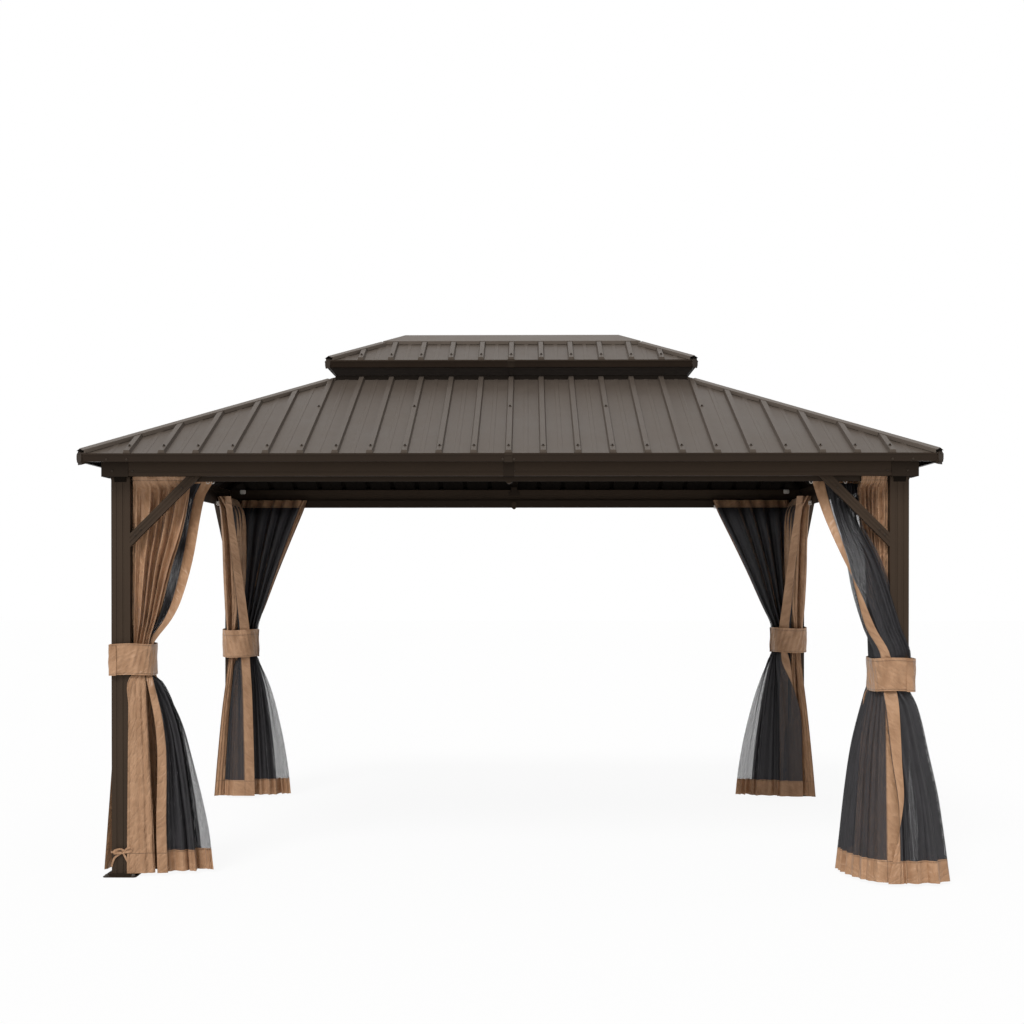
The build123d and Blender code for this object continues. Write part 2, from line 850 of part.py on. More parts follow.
lid_tooth_in = ridge_lid_run + tooth_wall
lid_tooth_foot = bead_crest / slope_cos + fit
lid_tooth_corners = [
    (ridge_lid_run, ridge_lid_run * slope + lid_under + lid_wall / 2),
    (lid_tooth_in, lid_tooth_in * slope + lid_under + lid_wall / 2),
    (lid_tooth_in, lid_tooth_in * slope + lid_tooth_foot),
    (ridge_lid_run, ridge_lid_run * slope + lid_tooth_foot),
]
lid_edges = [
    side_bar(UPPER, turn, lid_tooth_corners, lid_tooth_in, 0) for turn in TURNS.values()
]
with BuildPart() as ridge_cover:
    add(lid_edges)
    for turn in TURNS.values():
        add(rib_rooms(UPPER, turn, upper_width / 2), mode=Mode.SUBTRACT)
    add(lid.part)
write(ridge_cover.part, "ridge_cover")

# Upper frame: a ring on uprights inside the vent frame, with hips and a ridge bar
neck_height = NECK[2]
ring_bottom = neck_height - upper_ring_height
upright_foot = eave_height + ring_under
upright_count = 3
upper_ring_corners = [
    (0, 0),
    (upright_size, upright_size * slope),
    (upright_size, -upper_ring_height),
    (0, -upper_ring_height),
]
upper_ring_bars = [
    side_bar(NECK, turn, upper_ring_corners, upright_size, 0) for turn in TURNS.values()
]
ridge_bar = hipped_solid(ridge_length + upright_size, upright_size, ridge_height, ridge_bar_depth)


def upper_hip_bar(corner):
    with BuildPart() as bar:
        with BuildSketch(hip_frame(UPPER, corner)):
            Polygon(
                *with_mirror(
                    (0, 0),
                    (upright_size / 2, -upright_size / 2 * fold),
                    (upright_size / 2, -upper_rafter_depth - upright_size / 2 * fold),
                )
            )
        extrude(amount=over_all)
        with BuildSketch():
            Rectangle(opening_length, opening_width)
        extrude(amount=over_all, mode=Mode.INTERSECT)
        with BuildSketch(Plane.YZ):
            half_plane = corner[1] * upper_width / 2
            with Locations((half_plane, ridge_height)):
                Rectangle(upper_width, upper_width)
        extrude(amount=upper_length, both=True, mode=Mode.INTERSECT)
    return bar.part


upper_hip_bars = [upper_hip_bar(corner) for corner in CORNERS.values()]
with BuildPart() as upper_frame:
    add(upper_ring_bars)
    add(ridge_bar)
    add(upper_hip_bars)
    with BuildSketch(Plane.XY.offset(upright_foot)):
        spread_x = (opening_length - upright_size) / (upright_count - 1)
        with GridLocations(spread_x, opening_width - upright_size, upright_count, 2):
            Rectangle(upright_size, upright_size)
    extrude(amount=ring_bottom - upright_foot)
write(upper_frame.part, "upper_frame")

# Vent screens: four strips sloping in from the upper trim to the lower roof's top edge
screen_head = fascia_inset + bottom_flange - upper_overhang + fit
screen_top = upper_eave_height - fascia_height - neck_height + fascia_wall
screen_low = eave_height + lower_run * slope + rib_crest / slope_cos + 2 * fit - neck_height
screen_corners = [
    (screen_head, screen_top),
    (screen_head + screen_thickness, screen_top),
    (screen_thickness - screen_lean, screen_low),
    (-screen_lean, screen_low),
]
screens = [side_bar(NECK, turn, screen_corners, screen_thickness) for turn in TURNS.values()]
strut_top = screen_top - fascia_wall - cover_wall - fit
with BuildPart() as vent_screens:
    add(screens)
    for turn in (0, 180):
        with BuildSketch(section_frame(NECK, turn)):
            Polygon(
                (screen_head - fit, strut_top),
                (-screen_lean - fit, screen_low),
                (-screen_lean - fit - strut_depth, screen_low),
                (screen_head - fit - strut_depth, strut_top),
            )
        extrude(amount=strut_width / 2, both=True)
write(vent_screens.part, "vent_screens")

# Curtains: at every corner one soft bundle hugs the post's inner corner. It hangs
# gathered from the two rails, narrows to the tie and spreads again to its hem.
curtain_head = beam_bottom + curtain_lap
curtain_hem = plate_thickness + collar_rise + hem_clearance
curtain_back = rail_run - beam_depth - rail_depth - fit
post_back = rail_run - post_inset + fit

# Reach from the post at the head, the tie and the hem, then how far the cloth laps the
# post's outer faces at the tie and the hem, then the tie's foot and height
CURTAINS = {
    "front_left": (408.0, 120.0, 396.0, 0.0, 52.0, 1011.0, 157.0),
    "front_right": (376.0, 80.0, 224.0, 34.0, 138.0, 936.0, 165.0),
    "rear_left": (474.0, 150.0, 368.0, 0.0, 25.0, 960.0, 186.0),
    "rear_right": (552.0, 154.0, 384.0, 0.0, 10.0, 994.0, 166.0),
}


# A solid with one outline seen across its bay and another seen along it
def crossed(bay, outline, along, thin_outline):
    with BuildPart() as solid:
        with BuildSketch(bay):
            Polygon(*outline)
        extrude(amount=over_all, both=True)
        with BuildSketch(along):
            Polygon(*thin_outline)
        extrude(amount=over_all, both=True, mode=Mode.INTERSECT)
    return solid.part


for name, (sx, sy) in CORNERS.items():
    head_reach, tie_reach, hem_reach, tie_lap, hem_lap, tie_foot, tie_height = CURTAINS[name]
    tie_top = tie_foot + tie_height
    inner_corner = (sx * (beam_length / 2 - rail_run), sy * (beam_width / 2 - rail_run), 0)
    long_bay = Plane(inner_corner, x_dir=(-sx, 0, 0), z_dir=(0, sx, 0))
    end_bay = Plane(inner_corner, x_dir=(0, -sy, 0), z_dir=(-sy, 0, 0))
    outline = [
        (0, curtain_head),
        (head_reach, curtain_head),
        (tie_reach, tie_top),
        (tie_reach, tie_foot),
        (hem_reach, curtain_hem),
        (0, curtain_hem),
    ]
    thin_outline = [
        (-curtain_back, curtain_head),
        (head_thickness, curtain_head),
        (bundle_thickness, tie_top),
        (bundle_thickness, tie_foot),
        (hem_thickness, curtain_hem),
        (-post_back - hem_lap, curtain_hem),
        (-curtain_back, tie_foot),
    ]
    skirt_outline = [
        (-post_back - tie_lap, tie_top),
        (tie_reach, tie_top),
        (tie_reach, tie_foot),
        (hem_reach, curtain_hem),
        (-post_back - hem_lap, curtain_hem),
        (-post_back - tie_lap, tie_foot),
    ]
    arms = [
        crossed(long_bay, outline, end_bay, thin_outline),
        crossed(end_bay, outline, long_bay, thin_outline),
    ]
    # Where the cloth laps the post it closes into a skirt round it
    if tie_lap > 0:
        arms.append(crossed(long_bay, skirt_outline, end_bay, skirt_outline))
    with BuildPart() as curtain:
        add(arms)
        with BuildSketch():
            with Locations((sx * post_x, sy * post_y)):
                Rectangle(post_size + 2 * fit, post_size + 2 * fit)
        extrude(amount=beam_bottom, mode=Mode.SUBTRACT)
    write(curtain.part, f"curtain_{name}")

# Ties: a broad band round each post and its curtains
with BuildPart() as ties:
    for name, (sx, sy) in CORNERS.items():
        head_reach, tie_reach, hem_reach, tie_lap, hem_lap, tie_foot, tie_height = CURTAINS[name]
        inner = tie_reach + post_back + tie_lap + 2 * fit
        shift = rail_run + (tie_reach - post_back - tie_lap) / 2
        middle = (sx * (beam_length / 2 - shift), sy * (beam_width / 2 - shift))
        with BuildSketch(Plane.XY.offset(tie_foot)):
            with Locations(middle):
                Rectangle(inner + 2 * tie_wall, inner + 2 * tie_wall)
                Rectangle(inner, inner, mode=Mode.SUBTRACT)
        extrude(amount=tie_height)
write(ties.part, "curtain_ties")
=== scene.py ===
# %% [markdown]
# # A garden gazebo in Blender
# The object is a free-standing metal gazebo: four fluted posts, a ring of beams, a
# two-tier hipped roof of ribbed sheet, and tied-back curtains and insect nets at every
# corner. The metalwork comes finished from the CAD model, in metres, so this lesson
# gives it paint, adds its small fasteners, and makes all the cloth.

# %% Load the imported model
import math
import random

import bpy
from mathutils import Matrix, Vector


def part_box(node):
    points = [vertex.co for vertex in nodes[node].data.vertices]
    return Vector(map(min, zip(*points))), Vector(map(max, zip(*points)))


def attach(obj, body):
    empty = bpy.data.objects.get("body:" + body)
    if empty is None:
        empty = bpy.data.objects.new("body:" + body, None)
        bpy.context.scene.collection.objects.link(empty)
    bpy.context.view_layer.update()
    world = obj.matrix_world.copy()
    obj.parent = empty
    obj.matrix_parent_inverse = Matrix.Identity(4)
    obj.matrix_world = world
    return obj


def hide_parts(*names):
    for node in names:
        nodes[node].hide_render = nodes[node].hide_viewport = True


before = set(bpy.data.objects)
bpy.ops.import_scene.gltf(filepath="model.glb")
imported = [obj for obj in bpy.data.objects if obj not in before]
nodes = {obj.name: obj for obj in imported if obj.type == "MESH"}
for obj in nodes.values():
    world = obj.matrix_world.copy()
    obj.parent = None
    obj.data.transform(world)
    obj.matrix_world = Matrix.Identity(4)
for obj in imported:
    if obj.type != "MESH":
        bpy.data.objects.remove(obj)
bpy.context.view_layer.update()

# %% [markdown]
# ## Camera
# The photograph was taken from about eye height, a little to the right of the middle.
# Its horizon lies below the middle of the frame, which a small upward shift of the lens
# gives without tilting the posts.

# %% Camera
camera_data = bpy.data.cameras.new("camera")
camera_data.lens = 48.83
camera_data.sensor_width = 36.0
camera_data.shift_y = 0.0725
camera = bpy.data.objects.new("camera", camera_data)
camera.location = (0.0945, -8.3156, 1.5029)
camera.rotation_euler = (math.pi / 2 - 0.0064, 0.0, 0.0113)
bpy.context.scene.collection.objects.link(camera)
bpy.context.scene.camera = camera
print("camera lens", camera_data.lens, "mm")

# %% [markdown]
# ## Short words for shader nodes
# Every finish is a small tree of nodes. A few helpers add a node and fill in its inputs,
# either with a value or with a link from another node's output, so a finish stays short.


# %% Helpers for nodes
def link(tree, start, end):
    tree.links.new(start, end)


def feed(tree, socket, value):
    """Links another node's output to a socket, or sets it to a plain value."""
    if isinstance(value, bpy.types.NodeSocket):
        link(tree, value, socket)
    else:
        socket.default_value = value


def fill_in(tree, node, **named):
    """Feeds a node's inputs by name, with a low line for each space in it."""
    for name, value in named.items():
        feed(tree, node.inputs[name.replace("_", " ")], value)


def add(tree, kind, *values, **named):
    """A new shader node with its inputs fed by number or by name."""
    node = tree.nodes.new("ShaderNode" + kind)
    for index, value in enumerate(values):
        feed(tree, node.inputs[index], value)
    fill_in(tree, node, **named)
    return node


def maths(tree, operation, *values, clamp=False):
    node = add(tree, "Math", *values)
    node.operation = operation
    node.use_clamp = clamp
    return node.outputs[0]


def times(tree, first, second):
    return maths(tree, "MULTIPLY", first, second)


def weighted(tree, first, first_part, second, second_part):
    """The sum of two values, each multiplied by its part."""
    return maths(tree, "ADD", times(tree, first, first_part), times(tree, second, second_part))


def blank_material(name):
    material = bpy.data.materials.new(name)
    material.use_nodes = True
    tree = material.node_tree
    return material, tree, tree.nodes["Principled BSDF"]


def blend_out(tree, share, first, second):
    """Sends a blend of two shaders to the material's surface."""
    blend = add(tree, "MixShader", share, first.outputs[0], second.outputs[0])
    link(tree, blend.outputs[0], tree.nodes["Material Output"].inputs["Surface"])


def camera_mask(tree):
    """A value of 1 for what the camera, a reflection or a see-through ray looks at."""
    rays = add(tree, "LightPath").outputs
    mask = maths(tree, "MAXIMUM", rays["Is Camera Ray"], rays["Is Glossy Ray"])
    return maths(tree, "MAXIMUM", mask, rays["Is Transmission Ray"])


def deselect():
    bpy.ops.object.select_all(action="DESELECT")


print("helpers ready")

# %% [markdown]
# ## Floor, light and background
# A product picture needs a plain pale floor, one large soft light from the front and
# above, and an even fill. The world is white only where the camera or a mirror-like
# reflection sees it, so the background is white without more light on the object.

# %% Floor, light and background
fill_level = 0.55
key_level = 2.1
key_width, key_height, key_side = (math.radians(angle) for angle in (22, 42, -24))
floor_tone = 0.86
floor_glow = 0.92

world = bpy.data.worlds.new("studio")
world.use_nodes = True
bpy.context.scene.world = world
sky = world.node_tree
sky.nodes.clear()
fill = add(sky, "Background", (1.0, 0.985, 0.97, 1.0), fill_level)
white = add(sky, "Background", (1.0, 1.0, 1.0, 1.0), 1.0)
pick = add(sky, "MixShader", camera_mask(sky), fill.outputs[0], white.outputs[0])
add(sky, "OutputWorld", pick.outputs[0])

sun_data = bpy.data.lights.new("soft_key", "SUN")
sun_data.energy = key_level
sun_data.angle = key_width
sun = bpy.data.objects.new("soft_key", sun_data)
sun.rotation_euler = (key_height, 0.0, key_side)
bpy.context.scene.collection.objects.link(sun)

deselect()
bpy.ops.mesh.primitive_plane_add(size=80, location=(0, 0, 0))
floor = bpy.context.object
floor.name = "floor"
floor_paint, tree, shader = blank_material("floor_white")
tree.nodes.remove(shader)
matt = add(tree, "BsdfDiffuse", (floor_tone, floor_tone, floor_tone, 1.0))
glow = add(tree, "Emission", Strength=1.0)
blend_out(tree, times(tree, camera_mask(tree), floor_glow), matt, glow)
floor.data.materials.append(floor_paint)
bpy.context.scene.view_settings.view_transform = "Standard"

# %% [markdown]
# ## Effects that the finishes share
# Powder coat has a fine orange-peel grain, and outdoor metal carries a thin, uneven film
# of dust that runs down with the rain. Cloth has threads, wrinkles and sewn lines. Each
# of these is one node group with its own numbers, so every finish that needs it can use
# it at its own scale. A group only gives out masks and heights.

# %% Helpers for node groups
FLOAT = "NodeSocketFloat"
VECTOR = "NodeSocketVector"


def new_group(name, inputs, outputs):
    group = bpy.data.node_groups.new(name, "ShaderNodeTree")
    for label, kind, value in inputs:
        socket = group.interface.new_socket(label, in_out="INPUT", socket_type=kind)
        if value is not None:
            socket.default_value = value
    for label in outputs:
        group.interface.new_socket(label, in_out="OUTPUT", socket_type=FLOAT)
    start = group.nodes.new("NodeGroupInput").outputs
    finish = group.nodes.new("NodeGroupOutput")
    return group, start, finish


def use_group(tree, group, **named):
    """A group's outputs, with its inputs fed by name."""
    node = tree.nodes.new("ShaderNodeGroup")
    node.node_tree = group
    fill_in(tree, node, **named)
    return node.outputs


def noise(tree, vector, scale, detail=2.0, roughness=0.5):
    node = add(tree, "TexNoise", Vector=vector, Scale=scale, Detail=detail, Roughness=roughness)
    return node.outputs["Fac"]


def stretched(tree, vector, scale, angle=0.0):
    """A map turned by an angle and then scaled."""
    if angle:
        vector = add(tree, "Mapping", Vector=vector, Rotation=(0.0, 0.0, angle)).outputs["Vector"]
    return add(tree, "Mapping", Vector=vector, Scale=scale).outputs["Vector"]


print("group helpers ready")

# %% [markdown]
# ### Powder coat
# The grain is a fine noise about a millimetre across. The film of dust is a soft noise
# over tens of centimetres, joined by a noise that is stretched upwards, like rain marks.

# %% Powder coat group
coat, start, finish = new_group(
    "powder_coat",
    [("Vector", VECTOR, None), ("Grain", FLOAT, 900.0), ("Film", FLOAT, 2.2)],
    ["Film", "Specks", "Height"],
)
place = start["Vector"]
soft = noise(coat, place, start["Film"], 3.0, 0.55)
marks = noise(coat, stretched(coat, place, (14.0, 14.0, 1.6)), 1.0, 3.0, 0.6)
fill_in(
    coat,
    finish,
    Film=weighted(coat, soft, 0.6, marks, 0.4),
    Specks=noise(coat, place, 260.0, 1.0, 0.4),
    Height=noise(coat, place, start["Grain"], 1.0),
)
print("group", coat.name)

# %% [markdown]
# ### Cloth
# The cloth's own map runs in metres: across the cut panel and up from its hem. Two sets
# of fine waves at right angles make the threads. Wrinkles are soft noise drawn out on the
# slant, with thin ridges and small puckers. Their Shade is painted shade, which darkens the
# colour where the wrinkles dip. A sewn line is a thin dark line with dashes.

# %% Cloth groups
seam_half, stitch_step = 0.0016, 0.006

threads, start, finish = new_group(
    "threads", [("Vector", VECTOR, None), ("Pitch", FLOAT, 0.0011)], ["Weave"]
)
split = add(threads, "SeparateXYZ", start["Vector"]).outputs
turns = maths(threads, "DIVIDE", 2 * math.pi, start["Pitch"])
warp = maths(threads, "SINE", times(threads, split["X"], turns))
weft = maths(threads, "SINE", times(threads, split["Y"], turns))
both = times(threads, warp, weft)
fill_in(threads, finish, Weave=maths(threads, "MULTIPLY_ADD", both, 0.5, 0.5))

wrinkle, start, finish = new_group(
    "wrinkles", [("Vector", VECTOR, None), ("Scale", FLOAT, 9.0)], ["Shade", "Height"]
)
long_way = stretched(wrinkle, start["Vector"], (1.5, 0.7, 1.0), 0.35)
cross_way = stretched(wrinkle, start["Vector"], (0.8, 2.4, 1.0), -0.5)
soft_folds = noise(wrinkle, long_way, start["Scale"], 3.0, 0.5)
drag = noise(wrinkle, cross_way, start["Scale"], 2.0, 0.45)
from_ridge = maths(wrinkle, "ABSOLUTE", maths(wrinkle, "SUBTRACT", drag, 0.5))
ridges = maths(wrinkle, "POWER", maths(wrinkle, "SUBTRACT", 1.0, from_ridge, clamp=True), 9.0)
puckers = noise(wrinkle, cross_way, 30.0, 2.0, 0.5)
folded = weighted(wrinkle, soft_folds, 1.0, ridges, 0.16)
# Shade is painted shade: it follows the wrinkles' height, so the colour is darker in the dips
fill_in(
    wrinkle,
    finish,
    Shade=times(wrinkle, folded, 0.86),
    Height=weighted(wrinkle, folded, 1.0, puckers, 0.07),
)

sewn, start, finish = new_group(
    "sewn_line", [("Along", FLOAT, 0.0), ("Across", FLOAT, 0.0), ("Place", FLOAT, 0.1)], ["Mask"]
)
away = maths(sewn, "ABSOLUTE", maths(sewn, "SUBTRACT", start["Across"], start["Place"]))
line = maths(sewn, "LESS_THAN", away, seam_half)
dash = maths(sewn, "SINE", times(sewn, start["Along"], 2 * math.pi / stitch_step))
dashes = maths(sewn, "GREATER_THAN", dash, -0.5)
fill_in(sewn, finish, Mask=times(sewn, line, dashes))
print("groups", threads.name, wrinkle.name, sewn.name)

# %% [markdown]
# ## Metal finishes
# Every metal piece has the same kind of satin dark brown coat, but the roof is a lighter
# grey brown and the moulded caps are matt. One function makes them all from two tones,
# a roughness and the depth of the grain, so they stay one family. Under the roofs, faces
# that look down get painted shade: a darker tone in place of the shade that falls there.


# %% Metal finishes
def linear(red, green, blue):
    """A colour given on a 0 to 255 screen scale, as Blender's linear values."""
    values = []
    for value in (red, green, blue):
        value /= 255
        values.append(value / 12.92 if value <= 0.04045 else ((value + 0.055) / 1.055) ** 2.4)
    return (*values, 1.0)


def two_tones(tree, mask, dark, light):
    """A colour between two tones, which are screen values."""
    ramp = add(tree, "ValToRGB", mask)
    for element, place, tone in zip(ramp.color_ramp.elements, (0.3, 0.7), (dark, light)):
        element.position = place
        element.color = linear(*tone)
    return ramp.outputs["Color"]


def spread(tree, value, low, high):
    """A soft noise's value, brought into a range of its own."""
    node = add(tree, "MapRange", Value=value, From_Min=0.3, From_Max=0.7, To_Min=low, To_Max=high)
    return node.outputs["Result"]


def mixed(tree, share, first, second):
    """A blend of two colours."""
    node = tree.nodes.new("ShaderNodeMix")
    node.data_type = "RGBA"
    for index, value in ((0, share), (6, first), (7, second)):
        feed(tree, node.inputs[index], value)
    return node.outputs[2]


def bump(tree, height, distance, strength, shader):
    node = add(tree, "Bump", Height=height, Distance=distance, Strength=strength)
    link(tree, node.outputs["Normal"], shader.inputs["Normal"])


warm_sheen = (1.0, 0.80, 0.64, 1.0)


def painted_metal(name, dark, light, rough, grain=0.00012, below=None):
    """A powder coat in two tones. Faces that look down are matt and get painted shade, in the dark tone named
    below.
    """
    material, tree, shader = blank_material(name)
    layer = use_group(tree, coat, Vector=add(tree, "TexCoord").outputs["Object"])
    tone = two_tones(tree, weighted(tree, layer["Film"], 0.8, layer["Specks"], 0.2), dark, light)
    dull = spread(tree, layer["Film"], rough - 0.06, rough + 0.08)
    # Painted shade: faces that look down take the darker tone, as if in the shade under the roof
    if below is not None:
        normal = add(tree, "NewGeometry").outputs["True Normal"]
        painted_underside = maths(tree, "LESS_THAN", add(tree, "SeparateXYZ", normal).outputs["Z"], -0.1)
        dull = maths(tree, "MAXIMUM", dull, painted_underside)
        tone = mixed(tree, painted_underside, tone, linear(*below))
    fill_in(tree, shader, Base_Color=tone, Roughness=dull)
    fill_in(tree, shader, Specular_IOR_Level=0.26, Specular_Tint=warm_sheen)
    bump(tree, layer["Height"], grain, 0.6, shader)
    return material


# The tone of painted shade for faces that look down, under the roofs
painted_underside_shade = (14, 10, 7)
frame_coat = painted_metal("frame_coat", (46, 36, 28), (55, 44, 35), 0.5)
dark_coat = painted_metal("dark_coat", (31, 23, 17), (39, 30, 23), 0.5, below=painted_underside_shade)
roof_coat = painted_metal("roof_coat", (70, 62, 55), (82, 74, 67), 0.42, below=painted_underside_shade)
trim_coat = painted_metal("trim_coat", (28, 20, 15), (37, 28, 21), 0.42)
ridge_coat = painted_metal("ridge_coat", (82, 74, 67), (94, 86, 79), 0.42, below=painted_underside_shade)
moulded = painted_metal("moulded_plastic", (36, 29, 23), (45, 37, 30), 0.62, 0.0002)
print("metal finishes", len(bpy.data.materials))

# %% [markdown]
# ### Vent screens
# The gap between the two roofs is closed by a dark screen of punched sheet. Its holes
# are far too small to model, so they are a round dot pattern in colour and height.

# %% Screen finish
screen_mesh, tree, shader = blank_material("punched_screen")
where = add(tree, "TexCoord").outputs["Object"]
layer = use_group(tree, coat, Vector=where)
dots = add(tree, "TexVoronoi", Vector=where, Scale=160.0, Randomness=0.0)
holes = spread(tree, dots.outputs["Distance"], 0.0, 1.0)
tone = two_tones(tree, holes, (20, 16, 13), (52, 43, 36))
fill_in(tree, shader, Base_Color=tone, Roughness=spread(tree, layer["Film"], 0.55, 0.7))
bump(tree, holes, 0.0008, 0.5, shader)
print("screen finish", screen_mesh.name)

# %% [markdown]
# ## Paint the CAD nodes
# A CAD node keeps its mesh and gets a finish in its material slots. The nodes' names say
# what they are, so a short table of name beginnings is enough.

# %% Paint the CAD nodes
FINISHES = [
    (dark_coat, ("base_plate_", "beam_splices", "corner_sleeves", "curtain_rails", "rafter",
                 "vent_frame", "purlins", "hip_rafter", "upper_frame")),
    (frame_coat, ("post_", "beam_", "rail_joiners", "knee_braces")),
    (trim_coat, ("eave_fascia", "upper_fascia")),
    (moulded, ("eave_covers", "upper_covers")),
    (roof_coat, ("lower_roof", "upper_roof")),
    (ridge_coat, ("lower_hip_covers", "upper_hip_covers", "ridge_cover")),
    (screen_mesh, ("vent_screens",)),
]
painted = 0
for name, node in nodes.items():
    for paint, beginnings in FINISHES:
        if name.startswith(beginnings):
            if not node.data.materials:
                node.data.materials.append(paint)
            for part in node.material_slots:
                part.link = "OBJECT"
                part.material = paint
            painted += 1
            break
print("painted", painted, "of", len(nodes))

# %% [markdown]
# ## Cloth finishes
# The curtains are a tan polyester canvas, and the nets are a fine black mesh with a tan
# binding along the leading edge, the head and the hem. The canvas lets a little light
# through, so its folds glow where the sun is behind them. The mesh is threads and holes:
# one layer is see-through, and many gathered layers look nearly black.


# %% Cloth finishes
def canvas(name, side_line, hem_line, head_line):
    """Tan cloth. Its map's X runs from the leading edge and its Y up from the hem, in metres."""
    material, tree, shader = blank_material(name)
    chart = add(tree, "UVMap").outputs["UV"]
    split = add(tree, "SeparateXYZ", chart).outputs
    across, up = split["X"], split["Y"]
    weave = use_group(tree, threads, Vector=chart)["Weave"]
    folds = use_group(tree, wrinkle, Vector=chart)
    stitches = 0.0
    for along, place, line in ((up, across, side_line), (across, up, hem_line), (across, up, head_line)):
        seam = use_group(tree, sewn, Along=along, Across=place, Place=line)
        stitches = maths(tree, "MAXIMUM", stitches, seam["Mask"])
    # Painted shade: the tan is darker where the wrinkles dip, with a little of the weave mixed in
    tone = two_tones(tree, weighted(tree, folds["Shade"], 0.8, weave, 0.2), tan_dark, tan_light)
    tone = mixed(tree, times(tree, stitches, 0.7), tone, linear(*thread_tone))
    fill_in(tree, shader, Base_Color=tone, Roughness=spread(tree, weave, 0.36, 0.46))
    fill_in(tree, shader, Sheen_Weight=0.12, Specular_IOR_Level=0.4)
    bump(tree, weighted(tree, folds["Height"], 1.0, stitches, -0.3), 0.024, 0.8, shader)
    blend_out(tree, glow_through, shader, add(tree, "BsdfTranslucent", tone))
    return material


# The cloth is cut to these sizes
net_border = 0.075
hem_deep = 0.1
head_deep = 0.045
cut_tall = 2.02
bay_cut = {"long": 1.8, "end": 1.4}

# The dark tan is the tone of the painted shade in the wrinkles' dips, and of the weave's darker threads
tan_dark, tan_light, thread_tone = (150, 111, 79), (200, 158, 123), (98, 72, 50)
glow_through = 0.16
curtain_cloth = canvas("tan_canvas", 0.025, hem_deep, cut_tall - head_deep)
binding_cloth = canvas("tan_binding", net_border - 0.005, hem_deep, cut_tall - head_deep)
tie_cloth = canvas("tan_tie", 0.02, 0.008, 0.15)

net_pitch, thread_share = 0.0016, 0.68
net_mesh, tree, shader = blank_material("black_net")
chart = add(tree, "UVMap").outputs["UV"]
split = add(tree, "SeparateXYZ", chart).outputs
hole = 1.0
for axis in ("X", "Y"):
    wave = maths(tree, "SINE", times(tree, split[axis], math.pi / net_pitch))
    open_way = maths(tree, "GREATER_THAN", maths(tree, "ABSOLUTE", wave), thread_share)
    hole = times(tree, hole, open_way)
folds = use_group(tree, wrinkle, Vector=chart)
# Painted shade: the net's threads are darker where its wrinkles dip
tone = two_tones(tree, folds["Shade"], (33, 32, 34), (54, 52, 55))
fill_in(tree, shader, Base_Color=tone, Roughness=spread(tree, folds["Shade"], 0.5, 0.7))
bump(tree, folds["Height"], 0.006, 0.4, shader)
blend_out(tree, hole, shader, add(tree, "BsdfTransparent"))
print("cloth finishes", curtain_cloth.name, net_mesh.name)

# %% [markdown]
# ## How the hung cloth is shaped
# Each cloth starts as a flat grid, cut to size. Its path in plan is a smooth line through
# a few given points at each of a few heights: along the rail at the head, squeezed
# together in the tie, and spread again at the hem. Folds run across that path. Their
# depth is set at the same points, so a broad flat panel and a tight gather can lie side by
# side. Points are measured from the inner corner of the post: the first number runs along
# the bay, the second across it to the inside, and the third is the depth of the folds.


# %% Shape a hung cloth
FRONT_LEFT, FRONT_RIGHT, REAR_LEFT, REAR_RIGHT = (-1, -1), (1, -1), (-1, 1), (1, 1)
CORNER_NAMES = {FRONT_LEFT: "front_left", FRONT_RIGHT: "front_right",
                REAR_LEFT: "rear_left", REAR_RIGHT: "rear_right"}
FOLDS = {("curtain", "long"): 18, ("curtain", "end"): 14, ("net", "long"): 19, ("net", "end"): 15}
fold_columns, cloth_lines = 14, 76
right_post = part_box("post_rear_right")
post_x, post_y = right_post[0][0], right_post[0][1]
post_mid_x, post_mid_y = ((right_post[0][i] + right_post[1][i]) / 2 for i in (0, 1))
post_half = (right_post[1][0] - right_post[0][0]) / 2


def curve(knots, values, at):
    """The smooth line through values, one for each knot, at one place along it."""
    last = len(knots) - 1
    i = 0
    while i < last - 1 and at > knots[i + 1]:
        i += 1
    span = knots[i + 1] - knots[i]
    t = min(max((at - knots[i]) / span, 0.0), 1.0)
    before, after = max(i - 1, 0), min(i + 2, last)
    result = []
    for first, second, low, high in zip(values[i], values[i + 1], values[before], values[after]):
        rise = (second - low) / (knots[i + 1] - knots[before]) * span
        fall = (high - first) / (knots[after] - knots[i]) * span
        result.append(
            (2 * t**3 - 3 * t**2 + 1) * first
            + (t**3 - 2 * t**2 + t) * rise
            + (3 * t**2 - 2 * t**3) * second
            + (t**3 - t**2) * fall
        )
    return result


def heading(knots, points, share):
    """The direction of the smooth line at one place along it, in its first two numbers."""
    ahead = curve(knots, points, min(share + 0.01, 1.0))
    behind = curve(knots, points, max(share - 0.01, 0.0))
    run, turn = ahead[0] - behind[0], ahead[1] - behind[1]
    length = math.hypot(run, turn) or 1.0
    return run / length, turn / length


def corner_spot(corner, bay, along, across):
    """The place in plan of a point that is measured from a post's inner corner."""
    side, depth = corner
    if bay == "end":
        along, across = across, along
    return side * (post_x - along), depth * (post_y - across)


def flat_grid(name, columns, lines, on_cloth):
    """A flat grid one metre square, with on_cloth giving each place's map in metres."""
    deselect()
    bpy.ops.mesh.primitive_grid_add(x_subdivisions=columns, y_subdivisions=lines, size=1, calc_uvs=True)
    sheet = bpy.context.object
    sheet.name = name
    sheet.data.name = name
    for loop, place in zip(sheet.data.loops, sheet.data.uv_layers.active.data):
        place.uv = on_cloth(sheet.data.vertices[loop.vertex_index].co)
    return sheet


